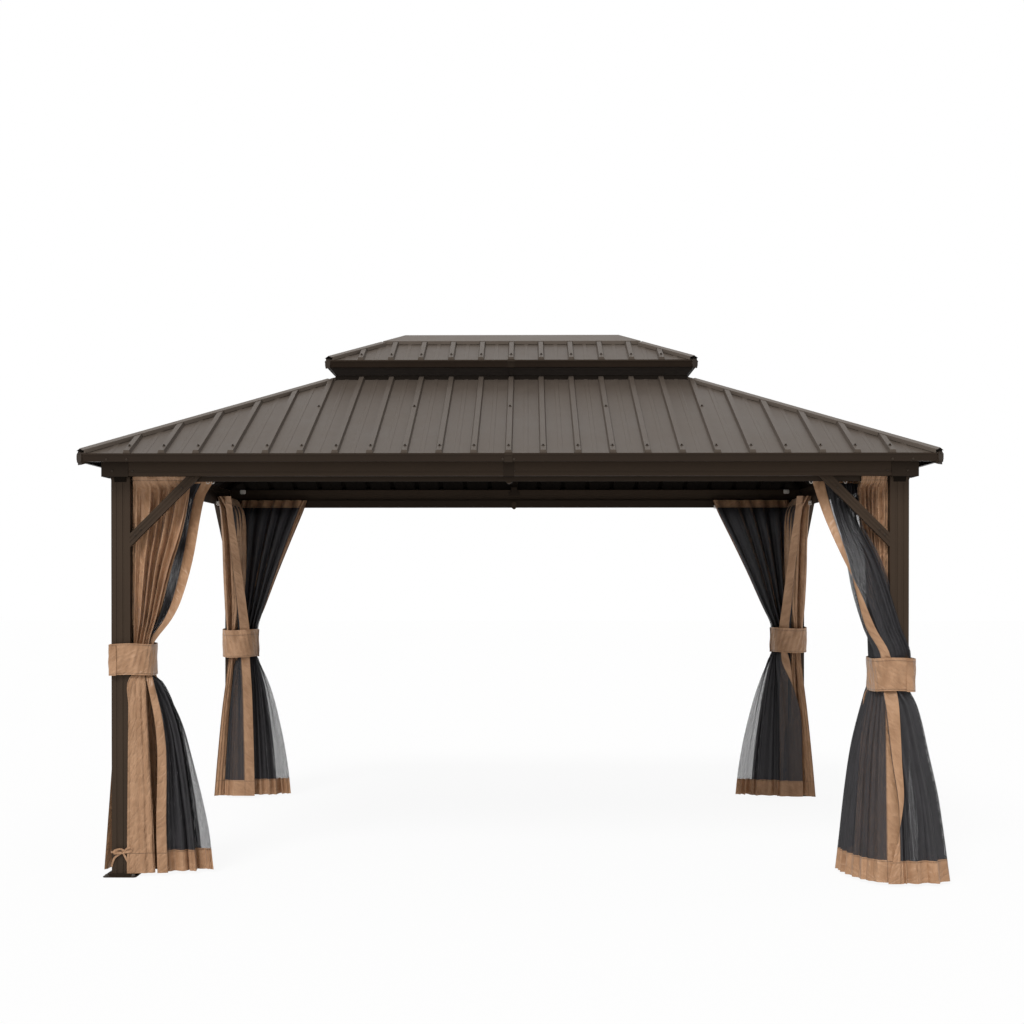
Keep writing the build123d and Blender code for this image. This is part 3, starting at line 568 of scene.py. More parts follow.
def hung_cloth(kind, corner, bay, knots, rows, seed):
    """Hangs one cut sheet. Rows go down from the head, and knots are shares of its width."""
    dice = random.Random(seed)
    width, folds = bay_cut[bay], FOLDS[kind, bay]
    sheet = flat_grid(
        f"{kind}_{CORNER_NAMES[corner]}_{bay}", folds * fold_columns, cloth_lines,
        lambda co: ((0.5 - co.x) * width, (co.y + 0.5) * cut_tall),
    )
    for cloth in (binding_cloth, net_mesh) if kind == "net" else (curtain_cloth,):
        sheet.data.materials.append(cloth)
    shifts = [dice.uniform(-0.9, 0.9) for _ in range(folds + 2)]
    gains = [dice.uniform(0.65, 1.3) for _ in range(folds + 2)]
    for face in sheet.data.polygons:
        from_edge = (0.5 - face.center.x) * width
        above_hem = (face.center.y + 0.5) * cut_tall
        bound = from_edge < net_border or above_hem < hem_deep or above_hem > cut_tall - head_deep
        face.material_index = 1 if kind == "net" and not bound else 0
        face.use_smooth = True
    top, foot = rows[0][0], rows[-1][0]
    down = [top - z for z, _ in rows]
    points_at = {}
    for vertex in sheet.data.vertices:
        share, rise = vertex.co.x + 0.5, vertex.co.y + 0.5
        drop = (1.0 - rise) * (top - foot)
        level = round(drop, 6)
        if level not in points_at:
            points_at[level] = [curve(down, [row[k] for _, row in rows], drop) for k in range(len(knots))]
        along, across, depth = curve(knots, points_at[level], share)
        run, turn = heading(knots, points_at[level], share)
        number = share * folds
        low = int(number)
        blend = number - low
        gain = gains[low] * (1 - blend) + gains[low + 1] * blend
        shift = shifts[low] * (1 - blend) + shifts[low + 1] * blend
        phase = 2 * math.pi * number + shift + 0.5 * math.sin(2.3 * drop + 1.7 * number)
        wave = math.sin(phase) + 0.22 * math.sin(2 * phase + 1.1 + shift)
        offset = max(depth, 0.0) * gain * wave
        x, y = corner_spot(corner, bay, along - turn * offset, across + run * offset)
        vertex.co = (x, y, top - drop)
    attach(sheet, "root")
    area = sum(face.area for face in sheet.data.polygons)
    print(sheet.name, "area over cut", round(area / (width * cut_tall), 2))
    return sheet


print("inner corner of the posts", round(post_x, 4), round(post_y, 4))

# %% [markdown]
# ## How a gathered cloth is laid out
# A half curtain is nearly two metres of cloth in a few tens of centimetres of rail, so it
# lies in three passes, one behind the other, and each pass has a few soft folds. A row
# therefore has seven points: out, back and out again. Below the tie the cloth spreads
# into a broad outer panel. A net has two more points, for its flat leading strip.

# %% Rows of the curtains
head_top = 2.035
hem_foot = 0.016
curtain_knots = [0.0, 0.17, 0.34, 0.51, 0.67, 0.83, 1.0]
# The tie's foot and top at each corner
tie_span = {FRONT_LEFT: (1.011, 1.168), FRONT_RIGHT: (0.936, 1.101),
            REAR_LEFT: (0.960, 1.146), REAR_RIGHT: (0.994, 1.160)}


def three_passes(near, reach, front, gap, depth):
    """Seven points of a row: the back pass, the middle pass and the front pass."""
    middle = (near + reach) / 2
    return [
        (near, front + 2 * gap, depth), (middle, front + 2 * gap, depth),
        (reach - gap / 3, front + 1.5 * gap, depth * 0.7), (middle, front + gap, depth),
        (near, front + 0.5 * gap, depth * 0.7), (middle, front, depth), (reach, front, depth * 0.5),
    ]


# How far a curtain has drawn in at 1.95, 1.75, 1.54 and 1.29 m, as shares of its slack
front_draw = (0.0, 0.20, 0.53, 0.85)
rear_draw = (0.08, 0.32, 0.57, 0.85)


def upper_curtain(head, tie, tie_top, draw, across):
    """A curtain's rows above its tie."""
    slack = head - tie
    reaches = [head - slack * share for share in draw]
    return [
        (head_top, three_passes(0.008, head, -0.034, 0.012, 0.010)),
        (1.95, three_passes(0.008, reaches[0], -0.020, 0.030, 0.020)),
        (1.75, three_passes(0.008, reaches[1], -0.022, 0.034, 0.026)),
        (1.54, three_passes(0.008, reaches[2], -0.034, 0.036, 0.028)),
        (1.29, three_passes(0.008, reaches[3], -0.045, 0.034, 0.022)),
        (tie_top + 0.02, three_passes(0.008, tie, across, 0.026, 0.014)),
    ]


def outer_curtain(corner, head, tie, hem, flare, behind_strip=0.035):
    """A front curtain: below the tie its last part is a broad panel outside the post,
    and the passes behind it reach further along the bay, by behind_strip."""
    foot, top = tie_span[corner]
    rows = upper_curtain(head, tie, top, front_draw, -0.060)
    over_rail = three_passes(0.008, head, -0.034, 0.014, 0.010)
    over_rail[4:] = [(0.010, -0.078, 0.002), (head / 2, -0.080, 0.004), (head, -0.078, 0.003)]
    for z, passes in rows[1:5]:
        passes[4] = (0.005, -0.058, 0.005)
    rows[0:1] = [(head_top, over_rail), (1.985, over_rail)]
    rows.append(((foot + top) / 2, three_passes(0.008, tie * 0.9, -0.066, 0.026, 0.012)))
    for z, share, depth in ((foot - 0.02, 0.0, 0.016), (0.86, 0.12, 0.022), (0.60, 0.4, 0.032),
                            (0.25, 0.8, 0.038), (hem_foot, 1.0, 0.042)):
        edge = tie - 0.015 + (hem - tie + 0.015) * share
        passes = three_passes(0.02, edge + behind_strip, -0.035, 0.036 + 0.012 * share, depth)
        lean = flare * share**2
        passes[4] = (edge - 0.035, -0.050, 0.004)
        passes[5] = (edge, -0.088 - lean * 0.3, 0.003)
        passes[6] = (-0.006 - 0.008 * share, -0.103 - 0.007 * share - lean, 0.003)
        rows.append((z, passes))
    return rows


def inner_curtain(corner, head, tie, hem, panel):
    """A rear curtain. panel is how far its leading edge swings outward at the hem."""
    foot, top = tie_span[corner]
    rows = upper_curtain(head, tie, top, rear_draw, -0.05)
    rows.append(((foot + top) / 2, three_passes(0.008, tie * 0.9, -0.05, 0.024, 0.012)))
    for z, share, depth in ((foot - 0.02, 0.0, 0.014), (0.60, 0.45, 0.026), (0.25, 0.8, 0.030),
                            (hem_foot, 1.0, 0.032)):
        edge = tie + (hem - tie) * share
        passes = three_passes(0.01, edge - 0.03, -0.04, 0.026, depth)
        passes[4] = (edge * 0.3, -0.04 - panel * share * 0.3, depth * 0.6)
        passes[5] = (edge * 0.75, -0.02 - panel * share * 0.75, 0.004)
        passes[6] = (edge, -0.045 - panel * share, 0.003)
        rows.append((z, passes))
    return rows


print("rows ready")

# %% [markdown]
# ## The curtains
# Every bay has half a curtain at each of its posts. The front left pair shows the plan:
# soft pleats from the post inwards, a bundle in the tie, and a broad panel that covers
# the edge of the post below it. The rear pairs are wider at the head. At the front right
# post the curtain is drawn up close, because the nets are wrapped round it.

# %% Curtains
CURTAINS = [
    (outer_curtain, FRONT_LEFT, "long", 0.278, 0.090, 0.118, 0.0),
    (outer_curtain, FRONT_LEFT, "end", 0.285, 0.090, 0.130, 0.045),
    (outer_curtain, FRONT_RIGHT, "long", 0.140, 0.050, 0.080, 0.0, 0.070),
    (outer_curtain, FRONT_RIGHT, "end", 0.150, 0.050, 0.080, 0.0),
    (inner_curtain, REAR_LEFT, "long", 0.470, 0.120, 0.20, 0.0),
    (inner_curtain, REAR_LEFT, "end", 0.500, 0.130, 0.165, 0.09),
    (inner_curtain, REAR_RIGHT, "long", 0.530, 0.120, 0.20, 0.0),
    (inner_curtain, REAR_RIGHT, "end", 0.500, 0.130, 0.165, 0.095),
]
sheets = []
seed = 11
for rows_of, corner, bay, *sizes in CURTAINS:
    seed += 1
    rows = rows_of(corner, *sizes)
    sheets.append((corner, bay, hung_cloth("curtain", corner, bay, curtain_knots, rows, seed)))

# %% [markdown]
# ## The nets
# The nets hang from the same rail and reach further than the curtains. Below the tie the
# cloth runs out in one layer and comes back in pleats, which leaves its strip in front.
# At the front right both nets are wrapped outside the post and fan out like a skirt, and
# the strip of the long one turns over on its way down.


# %% Nets
def net_knots(bay):
    strip = net_border / bay_cut[bay]
    return [0.0, 0.16, 0.32, 0.48, 0.63, 0.78, 0.96 - strip, 1.0 - strip, 1.0]


def upper_net(head, tie, tie_top, front):
    """A front net's rows above its tie, with the strip beyond the pleats."""
    rows = []
    shape = ((head_top, 1.0, 0.1), (1.99, 0.96, 0.5), (1.91, 0.80, 0.9), (1.585, 0.60, 0.75),
             (1.385, 0.42, 0.45), (1.285, 0.26, 0.25), (tie_top + 0.02, 0.02, 0.0))
    for z, share, inward in shape:
        reach = tie + (head - tie) * share
        strip = 0.064 * min(1.0, 0.35 + share)
        place = front * inward - 0.03 * (1 - inward)
        passes = three_passes(0.012, reach - strip * 0.6, place, 0.022, 0.016)
        passes[6] = (reach - strip * 0.7, place - 0.004, 0.004)
        rows.append((z, [*passes, (reach - strip, place - 0.014, 0.0), (reach, place - 0.06 * inward, 0.0)]))
    return rows


def outer_net(corner, hem):
    """A front net's rows from its tie down, with its strip outside, beside the panel."""
    tie, near, far, front = 0.104, 0.137, 0.187, -0.090
    foot, top = tie_span[corner]
    passes = three_passes(0.02, tie - 0.015, -0.03, 0.022, 0.010)
    tucked = [*passes, (tie - 0.01, -0.04, 0.0), (tie - 0.032, -0.072, 0.0)]
    rows = [((foot + top) / 2, tucked), (foot + 0.012, tucked)]
    for z, share, bow in ((foot - 0.03, 0.03, 0.0), (0.80, 0.40, 0.016), (0.62, 0.60, 0.022),
                          (0.25, 0.90, 0.0), (hem_foot, 1.0, 0.0)):
        reach = tie + (hem - tie) * share
        left = tie - 0.02 + (near - tie + 0.02) * share + bow
        right = tie + 0.01 + (far - tie - 0.01) * share + bow
        depth = 0.014 + 0.014 * share
        inner = right + (reach - right) * 0.62
        rows.append((z, [
            (reach, -0.005, 0.002), (inner + (reach - inner) * 0.3, 0.012, 0.006),
            (right - 0.02, 0.035, depth), (inner, 0.028, depth),
            (right - 0.02, 0.0, depth), (inner, -0.02, depth),
            (right - 0.015, -0.055, 0.006), (right, front + 0.004, 0.0), (left, front - 0.008, 0.0),
        ]))
    return rows


def rear_long_net(corner, head, tie, hem):
    """A rear net along the long bay. Its strip is turned back behind it."""
    foot, top = tie_span[corner]
    middle = (foot + top) / 2
    rows = []
    for z, draw, place in ((head_top, 0.0, 0.004), (1.94, 0.08, 0.070), (1.75, 0.32, 0.075),
                           (1.54, 0.57, 0.070), (1.29, 0.85, 0.062), (top + 0.02, 0.98, 0.056),
                           (middle, 1.0, 0.052)):
        reach = head + (tie - head) * draw
        passes = three_passes(0.03, reach, place, -0.014, 0.013 if z < head_top else 0.018)
        rows.append((z, [*passes, (reach - 0.004, place - 0.034, 0.0), (reach - 0.06, place - 0.040, 0.0)]))
    for z, share in ((foot - 0.02, 0.04), (0.75, 0.42), (0.45, 0.74), (0.2, 0.92), (hem_foot, 1.0)):
        reach = tie + (hem - tie) * share
        depth = 0.014 + 0.012 * share
        inner = tie + (reach - tie) * 0.55
        rows.append((z, [
            (reach, 0.050, 0.003), (inner, 0.045, depth), (0.04, 0.030, depth), (inner, 0.062, depth),
            (0.05, 0.045, depth), (inner, 0.085, depth * 0.7), (tie * 0.9, 0.105, 0.006),
            (tie * 0.75, 0.112, 0.0), (tie * 0.3, 0.110, 0.0),
        ]))
    return rows


def rear_end_net(corner, head, tie, strip_shown):
    """A rear net along the end bay. Its strip faces the camera, or tucks in lower down."""
    foot, top = tie_span[corner]
    middle = (foot + top) / 2
    rows = []
    for z, draw in ((head_top, 0.0), (1.95, 0.08), (1.75, 0.32), (1.54, 0.57), (1.29, 0.85),
                    (top + 0.02, 0.98), (middle, 1.0)):
        reach = head + (tie - head) * draw
        inside = 0.012 + 0.024 * draw
        lean = 0.050 - 0.01 * draw if z < head_top else 0.0
        passes = three_passes(0.03, reach - 0.03, lean, -0.010, 0.008)
        rows.append((z, [*passes, (reach, inside, 0.0), (reach - 0.006, inside + 0.040 + 0.026 * draw, 0.0)]))
    for z, share in ((foot - 0.02, 0.04), (0.75, 0.42), (0.55, 0.64), (0.2, 0.92), (hem_foot, 1.0)):
        depth = 0.012 + 0.012 * share
        reach = tie + 0.004 + 0.012 * share
        left = 0.02 - 0.085 * share
        if strip_shown:
            end = [(reach, 0.045 - 0.05 * share, 0.004), (reach + 0.003, 0.045 + 0.025 * share, 0.0),
                   (reach + 0.003, 0.105 + 0.035 * share, 0.0)]
        else:
            tuck = min(1.0, share * 1.5)
            end = [(reach, 0.10 - 0.15 * share, 0.004),
                   (reach + 0.003 - 0.02 * tuck, 0.105 - 0.16 * tuck, 0.0),
                   (reach + 0.003 - 0.04 * tuck, 0.045 - 0.06 * tuck, 0.0)]
        near = left if strip_shown else 0.11
        rows.append((z, [
            (0.03, -0.02, depth), (0.06, 0.03, depth), (0.09, 0.08, depth), (0.08, 0.02, depth),
            (0.06, -0.05 * share, depth), (reach - 0.03, near, depth * 0.5), *end,
        ]))
    return rows


def wrapped_rows(passes, table):
    """Rows of a net wrapped round its post, from a table in millimetres. A line has a height, the
    depth of the folds, five points in plan and two for the strip. One pass is a single layer with
    its fullness at the back. Three lie one inside another."""
    order = (0.0, 0.5, 1.0, 0.5, 0.0, 0.5, 1.0) if passes == 3 else (0.0, 0.1, 0.2, 0.35, 0.55, 0.8, 1.0)
    fullness = (1.0,) * 5 + (0.8, 0.4) if passes == 3 else (2.4, 2.2, 1.8, 1.0, 0.5, 0.4, 0.2)
    rows = []
    for line in table:
        z, depth, *flat = (value / 1000 for value in line)
        points = list(zip(flat[::2], flat[1::2]))
        row = []
        for number, share in enumerate(order):
            x, y = curve([0.0, 0.25, 0.5, 0.75, 1.0], points[:5], share)
            step = 0.006 * (5 - number) if passes == 3 and number < 5 else 0.0
            away = math.hypot(x + to_middle, y + to_middle)
            row.append((
                x - (x + to_middle) / away * step,
                y - (y + to_middle) / away * step,
                depth * fullness[number],
            ))
        rows.append((z, [*row, (*points[5], 0.0), (*points[6], 0.0)]))
    return rows


to_middle = 0.047
WRAPPED_LONG = [
    (2035, 14, 100, 85, 170, 80, 230, 60, 270, 30, 312, 0, 318, -8, 384, -10),
    (1950, 14, 120, 70, 180, 60, 230, 30, 265, 0, 300, -12, 304, -20, 362, -22),
    (1800, 12, 155, -15, 185, -20, 215, -30, 245, -35, 275, -40, 268, -48, 316, -50),
    (1600, 9, 70, -88, 105, -92, 140, -94, 185, -96, 222, -98, 214, -106, 238, -104),
    (1430, 8, 8, -112, 50, -114, 90, -114, 140, -110, 188, -100, 176, -122, 156, -126),
    (1250, 8, -52, -112, -10, -116, 30, -114, 80, -110, 132, -96, 125, -122, 80, -128),
    (1130, 7, -105, -98, -70, -112, -20, -114, 30, -108, 80, -88, 58, -122, 12, -128),
    (1020, 6, -110, -50, -90, -106, -30, -112, 30, -106, 66, -80, 45, -118, -4, -122),
    (940, 8, -110, -10, -115, -90, -70, -114, -10, -118, 36, -112, 40, -124, -24, -128),
    (860, 12, -130, 30, -150, -60, -115, -126, -50, -146, 22, -144, 34, -152, -30, -156),
    (600, 16, -175, 80, -218, -60, -165, -166, -90, -192, -5, -188, 14, -198, -32, -202),
    (390, 18, -210, 100, -262, -70, -200, -200, -110, -234, -22, -234, -6, -242, -28, -246),
    (16, 20, -250, 140, -322, -60, -240, -240, -130, -290, -20, -298, 0, -308, 62, -310),
]
WRAPPED_END = [
    (2035, 12, 120, 50, 170, 50, 220, 40, 260, 20, 285, 0, 290, -8, 360, -10),
    (1800, 12, 100, 50, 140, 50, 190, 40, 220, 20, 245, 0, 250, -6, 310, -8),
    (1430, 12, 70, 50, 90, 50, 110, 40, 130, 20, 145, 0, 150, -6, 200, -10),
    (1130, 8, 50, 50, 30, 62, -10, 66, -50, 60, -80, 45, -90, 40, -100, 0),
    (980, 7, 50, 40, 30, 62, -10, 66, -50, 62, -85, 45, -98, 40, -104, 0),
    (930, 8, 70, 50, 30, 80, -10, 84, -60, 74, -100, 45, -108, 30, -112, -20),
    (600, 14, 120, 80, 70, 140, -10, 150, -100, 130, -166, 75, -172, 40, -176, -20),
    (16, 18, 170, 80, 90, 195, -30, 216, -160, 180, -258, 105, -276, 60, -284, -10),
]
front_left_head = upper_net(0.412, 0.108, tie_span[FRONT_LEFT][1], 0.080)
NETS = [
    (FRONT_LEFT, "long", front_left_head + outer_net(FRONT_LEFT, 0.400)),
    (FRONT_LEFT, "end", front_left_head + outer_net(FRONT_LEFT, 0.360)),
    (FRONT_RIGHT, "long", wrapped_rows(3, WRAPPED_LONG)),
    (FRONT_RIGHT, "end", wrapped_rows(1, WRAPPED_END)),
    (REAR_LEFT, "long", rear_long_net(REAR_LEFT, 0.430, 0.126, 0.369)),
    (REAR_LEFT, "end", rear_end_net(REAR_LEFT, 0.495, 0.140, True)),
    (REAR_RIGHT, "long", rear_long_net(REAR_RIGHT, 0.520, 0.126, 0.385)),
    (REAR_RIGHT, "end", rear_end_net(REAR_RIGHT, 0.495, 0.140, False)),
]
for corner, bay, rows in NETS:
    seed += 1
    sheets.append((corner, bay, hung_cloth("net", corner, bay, net_knots(bay), rows, seed)))

# %% [markdown]
# ## The ties
# A tie is a padded band of the same canvas that goes round the post and both bundles and
# closes with a lap. It is a strip grid bent round a smooth closed line in plan. Pulled
# cloth dents a little between the places where it bears, so the band gets soft creases.


# %% Ties
def loop_point(points, turn):
    """A place on the smooth closed line through points, where turn 1 is once round."""
    count = len(points)
    number = (turn % 1.0) * count
    i = int(number) % count
    t = number - int(number)
    p0, p1, p2, p3 = (points[(i + k) % count] for k in (-1, 0, 1, 2))
    return [
        0.5 * (2 * b + (c - a) * t + (2 * a - 5 * b + 4 * c - d) * t**2 + (3 * b - a - 3 * c + d) * t**3)
        for a, b, c, d in zip(p0, p1, p2, p3)
    ]


tie_lap = 0.05
rear_loop = [(0.140, 0.02), (0.141, 0.09), (0.112, 0.150), (0.05, 0.162), (-0.02, 0.148), (-0.075, 0.11),
             (-0.103, 0.04), (-0.104, -0.05), (-0.104, -0.104), (-0.05, -0.108), (0.06, -0.098)]
tie_loops = {
    FRONT_LEFT: [(-0.101, -0.107), (-0.02, -0.114), (0.05, -0.110), (0.098, -0.085), (0.108, -0.02),
                 (0.09, 0.08), (0.02, 0.130), (-0.07, 0.125), (-0.106, 0.06), (-0.107, -0.05)],
    FRONT_RIGHT: [(-0.105, -0.138), (-0.03, -0.144), (0.03, -0.140), (0.074, -0.110), (0.086, -0.03),
                  (0.08, 0.06), (0.02, 0.115), (-0.07, 0.115), (-0.122, 0.05), (-0.132, -0.07)],
    REAR_LEFT: rear_loop, REAR_RIGHT: rear_loop,
}
for corner, loop in tie_loops.items():
    foot, top = tie_span[corner]
    tall = top - foot
    around = sum(math.dist(loop[k], loop[k - 1]) for k in range(len(loop)))
    band = flat_grid(
        f"tie_{CORNER_NAMES[corner]}", 150, 16,
        lambda co: ((co.x + 0.5) * around, (co.y + 0.5) * tall),
    )
    band.data.materials.append(tie_cloth)
    for vertex in band.data.vertices:
        share, rise = vertex.co.x + 0.5, vertex.co.y + 0.5
        place = share * (1 + tie_lap)
        along, across = loop_point(loop, place)
        next_along, next_across = loop_point(loop, place + 0.004)
        run, away = next_along - along, next_across - across
        length = math.hypot(run, away)
        crease = 0.0015 * math.sin(7 * place * math.pi * 2 + 5.0 * rise) + 0.0016 * math.sin(
            23 * place * math.pi * 2 - 9.0 * rise + 2.0
        )
        dent = -0.002 * math.sin(rise * math.pi)
        over = 0.004 if place > 1.0 else 0.0
        step = crease * (0.4 + math.sin(rise * math.pi)) + dent + over
        x, y = corner_spot(corner, "long", along + away / length * step, across - run / length * step)
        sag = 0.004 * math.sin(place * 12.0)
        vertex.co = (x, y, foot + rise * tall + sag)
    for face in band.data.polygons:
        face.use_smooth = True
    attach(band, "root")
    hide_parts("curtain_ties")
print("ties", len(tie_loops))

# %% Hide the CAD curtains that the sheets replace
for corner, bay, sheet in sheets:
    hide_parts(f"curtain_{CORNER_NAMES[corner]}")

# %% [markdown]
# ## Screws and bolts
# Every rib of the roof is held near the eave by a screw with a broad washer, and every
# third rib has another halfway up. The frame has smaller pan head screws, and each foot
# plate is bolted down through its four holes. One of each is modelled at true size, and the
# screws are set down where a ray sent at the metal meets it, so each one is seated.


# %% One screw of each kind
def join(pieces, name):
    deselect()
    for piece in pieces:
        piece.select_set(True)
    bpy.context.view_layer.objects.active = pieces[0]
    bpy.ops.object.join()
    joined = bpy.context.object
    joined.name = name
    joined.data.name = name
    return joined


def turned_disc(radius, tall, foot, sides, shrink):
    """A short round or six-sided block on the XY plane, its top face drawn in and domed."""
    deselect()
    bpy.ops.mesh.primitive_cylinder_add(
        vertices=sides, radius=radius, depth=tall, location=(0, 0, foot + tall / 2)
    )
    disc = bpy.context.object
    bpy.ops.object.transform_apply(location=True)
    bpy.ops.object.mode_set(mode="EDIT")
    bpy.ops.mesh.select_all(action="DESELECT")
    bpy.ops.object.mode_set(mode="OBJECT")
    for face in disc.data.polygons:
        face.select = face.normal.z > 0.9
    bpy.ops.object.mode_set(mode="EDIT")
    bpy.ops.mesh.inset(thickness=radius * shrink, depth=tall * 0.3)
    bpy.ops.object.mode_set(mode="OBJECT")
    return disc


def screw(name, washer, head, tall, sides):
    plate = turned_disc(washer, 0.0018, -0.0006, 14, 0.2)
    cap = turned_disc(head, tall, 0.0010, sides, 0.25)
    whole = join([plate, cap], name)
    whole.data.materials.append(screw_finish)
    return whole


screw_finish = painted_metal("screw_finish", (38, 31, 26), (58, 50, 43), 0.38)
bolt_finish = painted_metal("bolt_finish", (60, 56, 52), (92, 88, 83), 0.34)
roof_screw = screw("roof_screw_model", 0.0095, 0.0048, 0.0055, 6)
frame_screw = screw("frame_screw_model", 0.0062, 0.0050, 0.0030, 10)
small_screw = screw("small_screw_model", 0.0042, 0.0034, 0.0022, 10)
anchor_bolt = screw("anchor_bolt_model", 0.0120, 0.0085, 0.0070, 6)
anchor_bolt.data.materials[0] = bolt_finish
print("faces of a screw", len(roof_screw.data.polygons))


# %% Set the screws down
METAL = ("beam", "corner", "knee", "post_", "eave_", "upper_covers", "curtain_rails", "rail_")
UP = (0, 0, 1)
plate_top, bolt_offset, collar_z = 0.004, 0.0670, 0.030
rib_pitch, eave_run, slope_run, upper_run = 0.171, 0.060, 0.630, 0.050
roof_x, roof_y, upper_x, upper_y = 2.1375, 1.5, 1.0625, 0.425
over_roof, past_end, past_front = 3.2, 2.3, 1.6
beam_rows = (2.036, 2.084)


def seat(start, way, beginnings=METAL, reach=0.4):
    """Where a ray from start first meets one of the named nodes, and the face's normal."""
    start = Vector(start)
    best = None
    for name, node in nodes.items():
        if name.startswith(beginnings):
            met, place, normal, _ = node.ray_cast(start, Vector(way).normalized(), distance=reach)
            if met and (best is None or (place - start).length < (best[0] - start).length):
                best = (place, normal)
    return best


def set_down(model, spots, name):
    """Copies a model onto every seat that was found, and joins the copies as one piece."""
    copies = []
    for place, normal in filter(None, spots):
        copy = bpy.data.objects.new(name, model.data.copy())
        bpy.context.scene.collection.objects.link(copy)
        turn = Vector(UP).rotation_difference(Vector(normal)).to_matrix().to_4x4()
        copy.data.transform(Matrix.Translation(place) @ turn)
        copies.append(copy)
    bpy.data.objects.remove(model)
    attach(join(copies, name), "root")
    print(name, len(copies))


def rib_spots(half_x, half_y, long_count, end_count, run, step, roof):
    """Seats on the crests of the ribs, one run in from the eave, on all four slopes."""
    found = []
    for side in (-1, 1):
        starts = [(k * rib_pitch, side * (half_y - run)) for k in range(-long_count, long_count + 1, step)]
        starts += [(side * (half_x - run), k * rib_pitch) for k in range(-end_count, end_count + 1, step)]
        found += [seat((x, y, over_roof), (0, 0, -1), roof, 2.0) for x, y in starts]
    return found


def outside_seats(side_x, side_y, x, y, z):
    """Two seats at a corner of the frame, one from the front or rear and one from the end."""
    return [
        seat((side_x * x, side_y * past_front, z), (0, -side_y, 0)),
        seat((side_x * past_end, side_y * y, z), (-side_x, 0, 0)),
    ]


roof_spots = rib_spots(roof_x, roof_y, 11, 7, eave_run, 1, "lower_roof")
roof_spots += rib_spots(roof_x, roof_y, 9, 3, slope_run, 3, "lower_roof")
roof_spots += rib_spots(upper_x, upper_y, 5, 1, upper_run, 1, "upper_roof")
set_down(roof_screw, roof_spots, "roof_screws")

frame_spots, small_spots, bolt_spots = [], [], []
for side_x, side_y in ((-1, -1), (-1, 1), (1, -1), (1, 1)):
    for past_middle in (0.03, 0.03 - 0.10):
        for z in beam_rows:
            frame_spots += outside_seats(
                side_x, side_y, post_mid_x + past_middle, post_mid_y + past_middle, z)
    for along, z in ((0.026, 1.716), (0.052, 1.742), (0.262, 1.952)):
        frame_spots += outside_seats(side_x, side_y, post_x - along, post_y - along, z)
    for across in (-0.024, 0.024):
        small_spots += outside_seats(side_x, side_y, post_mid_x + across, post_mid_y + across, collar_z)
    small_spots.append(seat(
        (side_x * (roof_x + 0.1), side_y * (roof_y + 0.1), 2.112), (-side_x, -side_y, 0)))
    for dx in (-bolt_offset, bolt_offset):
        for dy in (-bolt_offset, bolt_offset):
            bolt_spots.append(((side_x * post_mid_x + dx, side_y * post_mid_y + dy, plate_top), UP))
for side in (-1, 1):
    for x in (-0.028, 0.028):
        for z in beam_rows:
            frame_spots.append(seat((x, side * past_front, z), (0, -side, 0)))
    for x in (-0.2, 0.2):
        for z in (2.066, 1.998):
            small_spots.append(seat((x, side * 1.1, z), (0, side, 0)))
set_down(frame_screw, frame_spots, "frame_screws")
set_down(small_screw, small_spots, "small_screws")
set_down(anchor_bolt, bolt_spots, "anchor_bolts")

# %% [markdown]
# ## The closure under the vent screens
# The screens end on the crests of the ribs, so a low gap is left over each flat of the
# sheet. A strip of dark foam closes it all round the neck. It starts as a flat frame, made
# by drawing in a plane and deleting its middle, and is then drawn up to its height.


# %% Closure strip
def round_edges(size, segments):
    """Bevels every edge of the object that was made last."""
    bpy.ops.object.mode_set(mode="EDIT")
    bpy.ops.mesh.select_all(action="SELECT")
    bpy.ops.mesh.bevel(offset=size, segments=segments, affect="EDGES")
    bpy.ops.object.mode_set(mode="OBJECT")


closure_x, closure_y, closure_wall = 1.0045, 0.3670, 0.007
closure_foot, closure_tall = 2.6310, 0.0268
deselect()
bpy.ops.mesh.primitive_plane_add(size=1, location=(0, 0, closure_foot))
closure = bpy.context.object
closure.name = "vent_closure"
closure.scale = (2 * closure_x, 2 * closure_y, 1)
bpy.ops.object.transform_apply(location=True, scale=True)
bpy.ops.object.mode_set(mode="EDIT")
bpy.ops.mesh.select_all(action="SELECT")
bpy.ops.mesh.inset(thickness=closure_wall)
bpy.ops.mesh.delete(type="FACE")
bpy.ops.mesh.select_all(action="SELECT")
bpy.ops.mesh.extrude_region_move(TRANSFORM_OT_translate={"value": (0, 0, closure_tall)})
bpy.ops.mesh.select_all(action="SELECT")
bpy.ops.mesh.normals_make_consistent(inside=False)
bpy.ops.object.mode_set(mode="OBJECT")
round_edges(0.0012, 1)
foam = painted_metal("dark_foam", (17, 14, 12), (27, 23, 20), 0.85, 0.0006)
closure.data.materials.append(foam)
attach(closure, "root")
print("closure faces", len(closure.data.polygons))

# %% [markdown]
# ## Hooks and clips
# The cloths hang from white plastic gliders that run in the rail, each with a small ring.
# Most are hidden by the cloth, and the last one of each row shows as a pale spot. A pale
# clip holds the end of the rear rails in each rear corner.

# %% Plastic finish
white_plastic, tree, shader = blank_material("white_plastic")
layer = use_group(tree, coat, Vector=add(tree, "TexCoord").outputs["Object"])
tone = two_tones(tree, layer["Specks"], (206, 198, 188), (232, 226, 218))
fill_in(tree, shader, Base_Color=tone, Roughness=spread(tree, layer["Film"], 0.35, 0.5))
bump(tree, layer["Height"], 0.0001, 0.5, shader)
print("finish", white_plastic.name)


# %% One glider with its ring
def rounded_block(size, middle, corner, segments):
    deselect()
    bpy.ops.mesh.primitive_cube_add(size=1, location=middle)
    block = bpy.context.object
    block.scale = size
    bpy.ops.object.transform_apply(location=True, scale=True)
    round_edges(corner, segments)
    return block


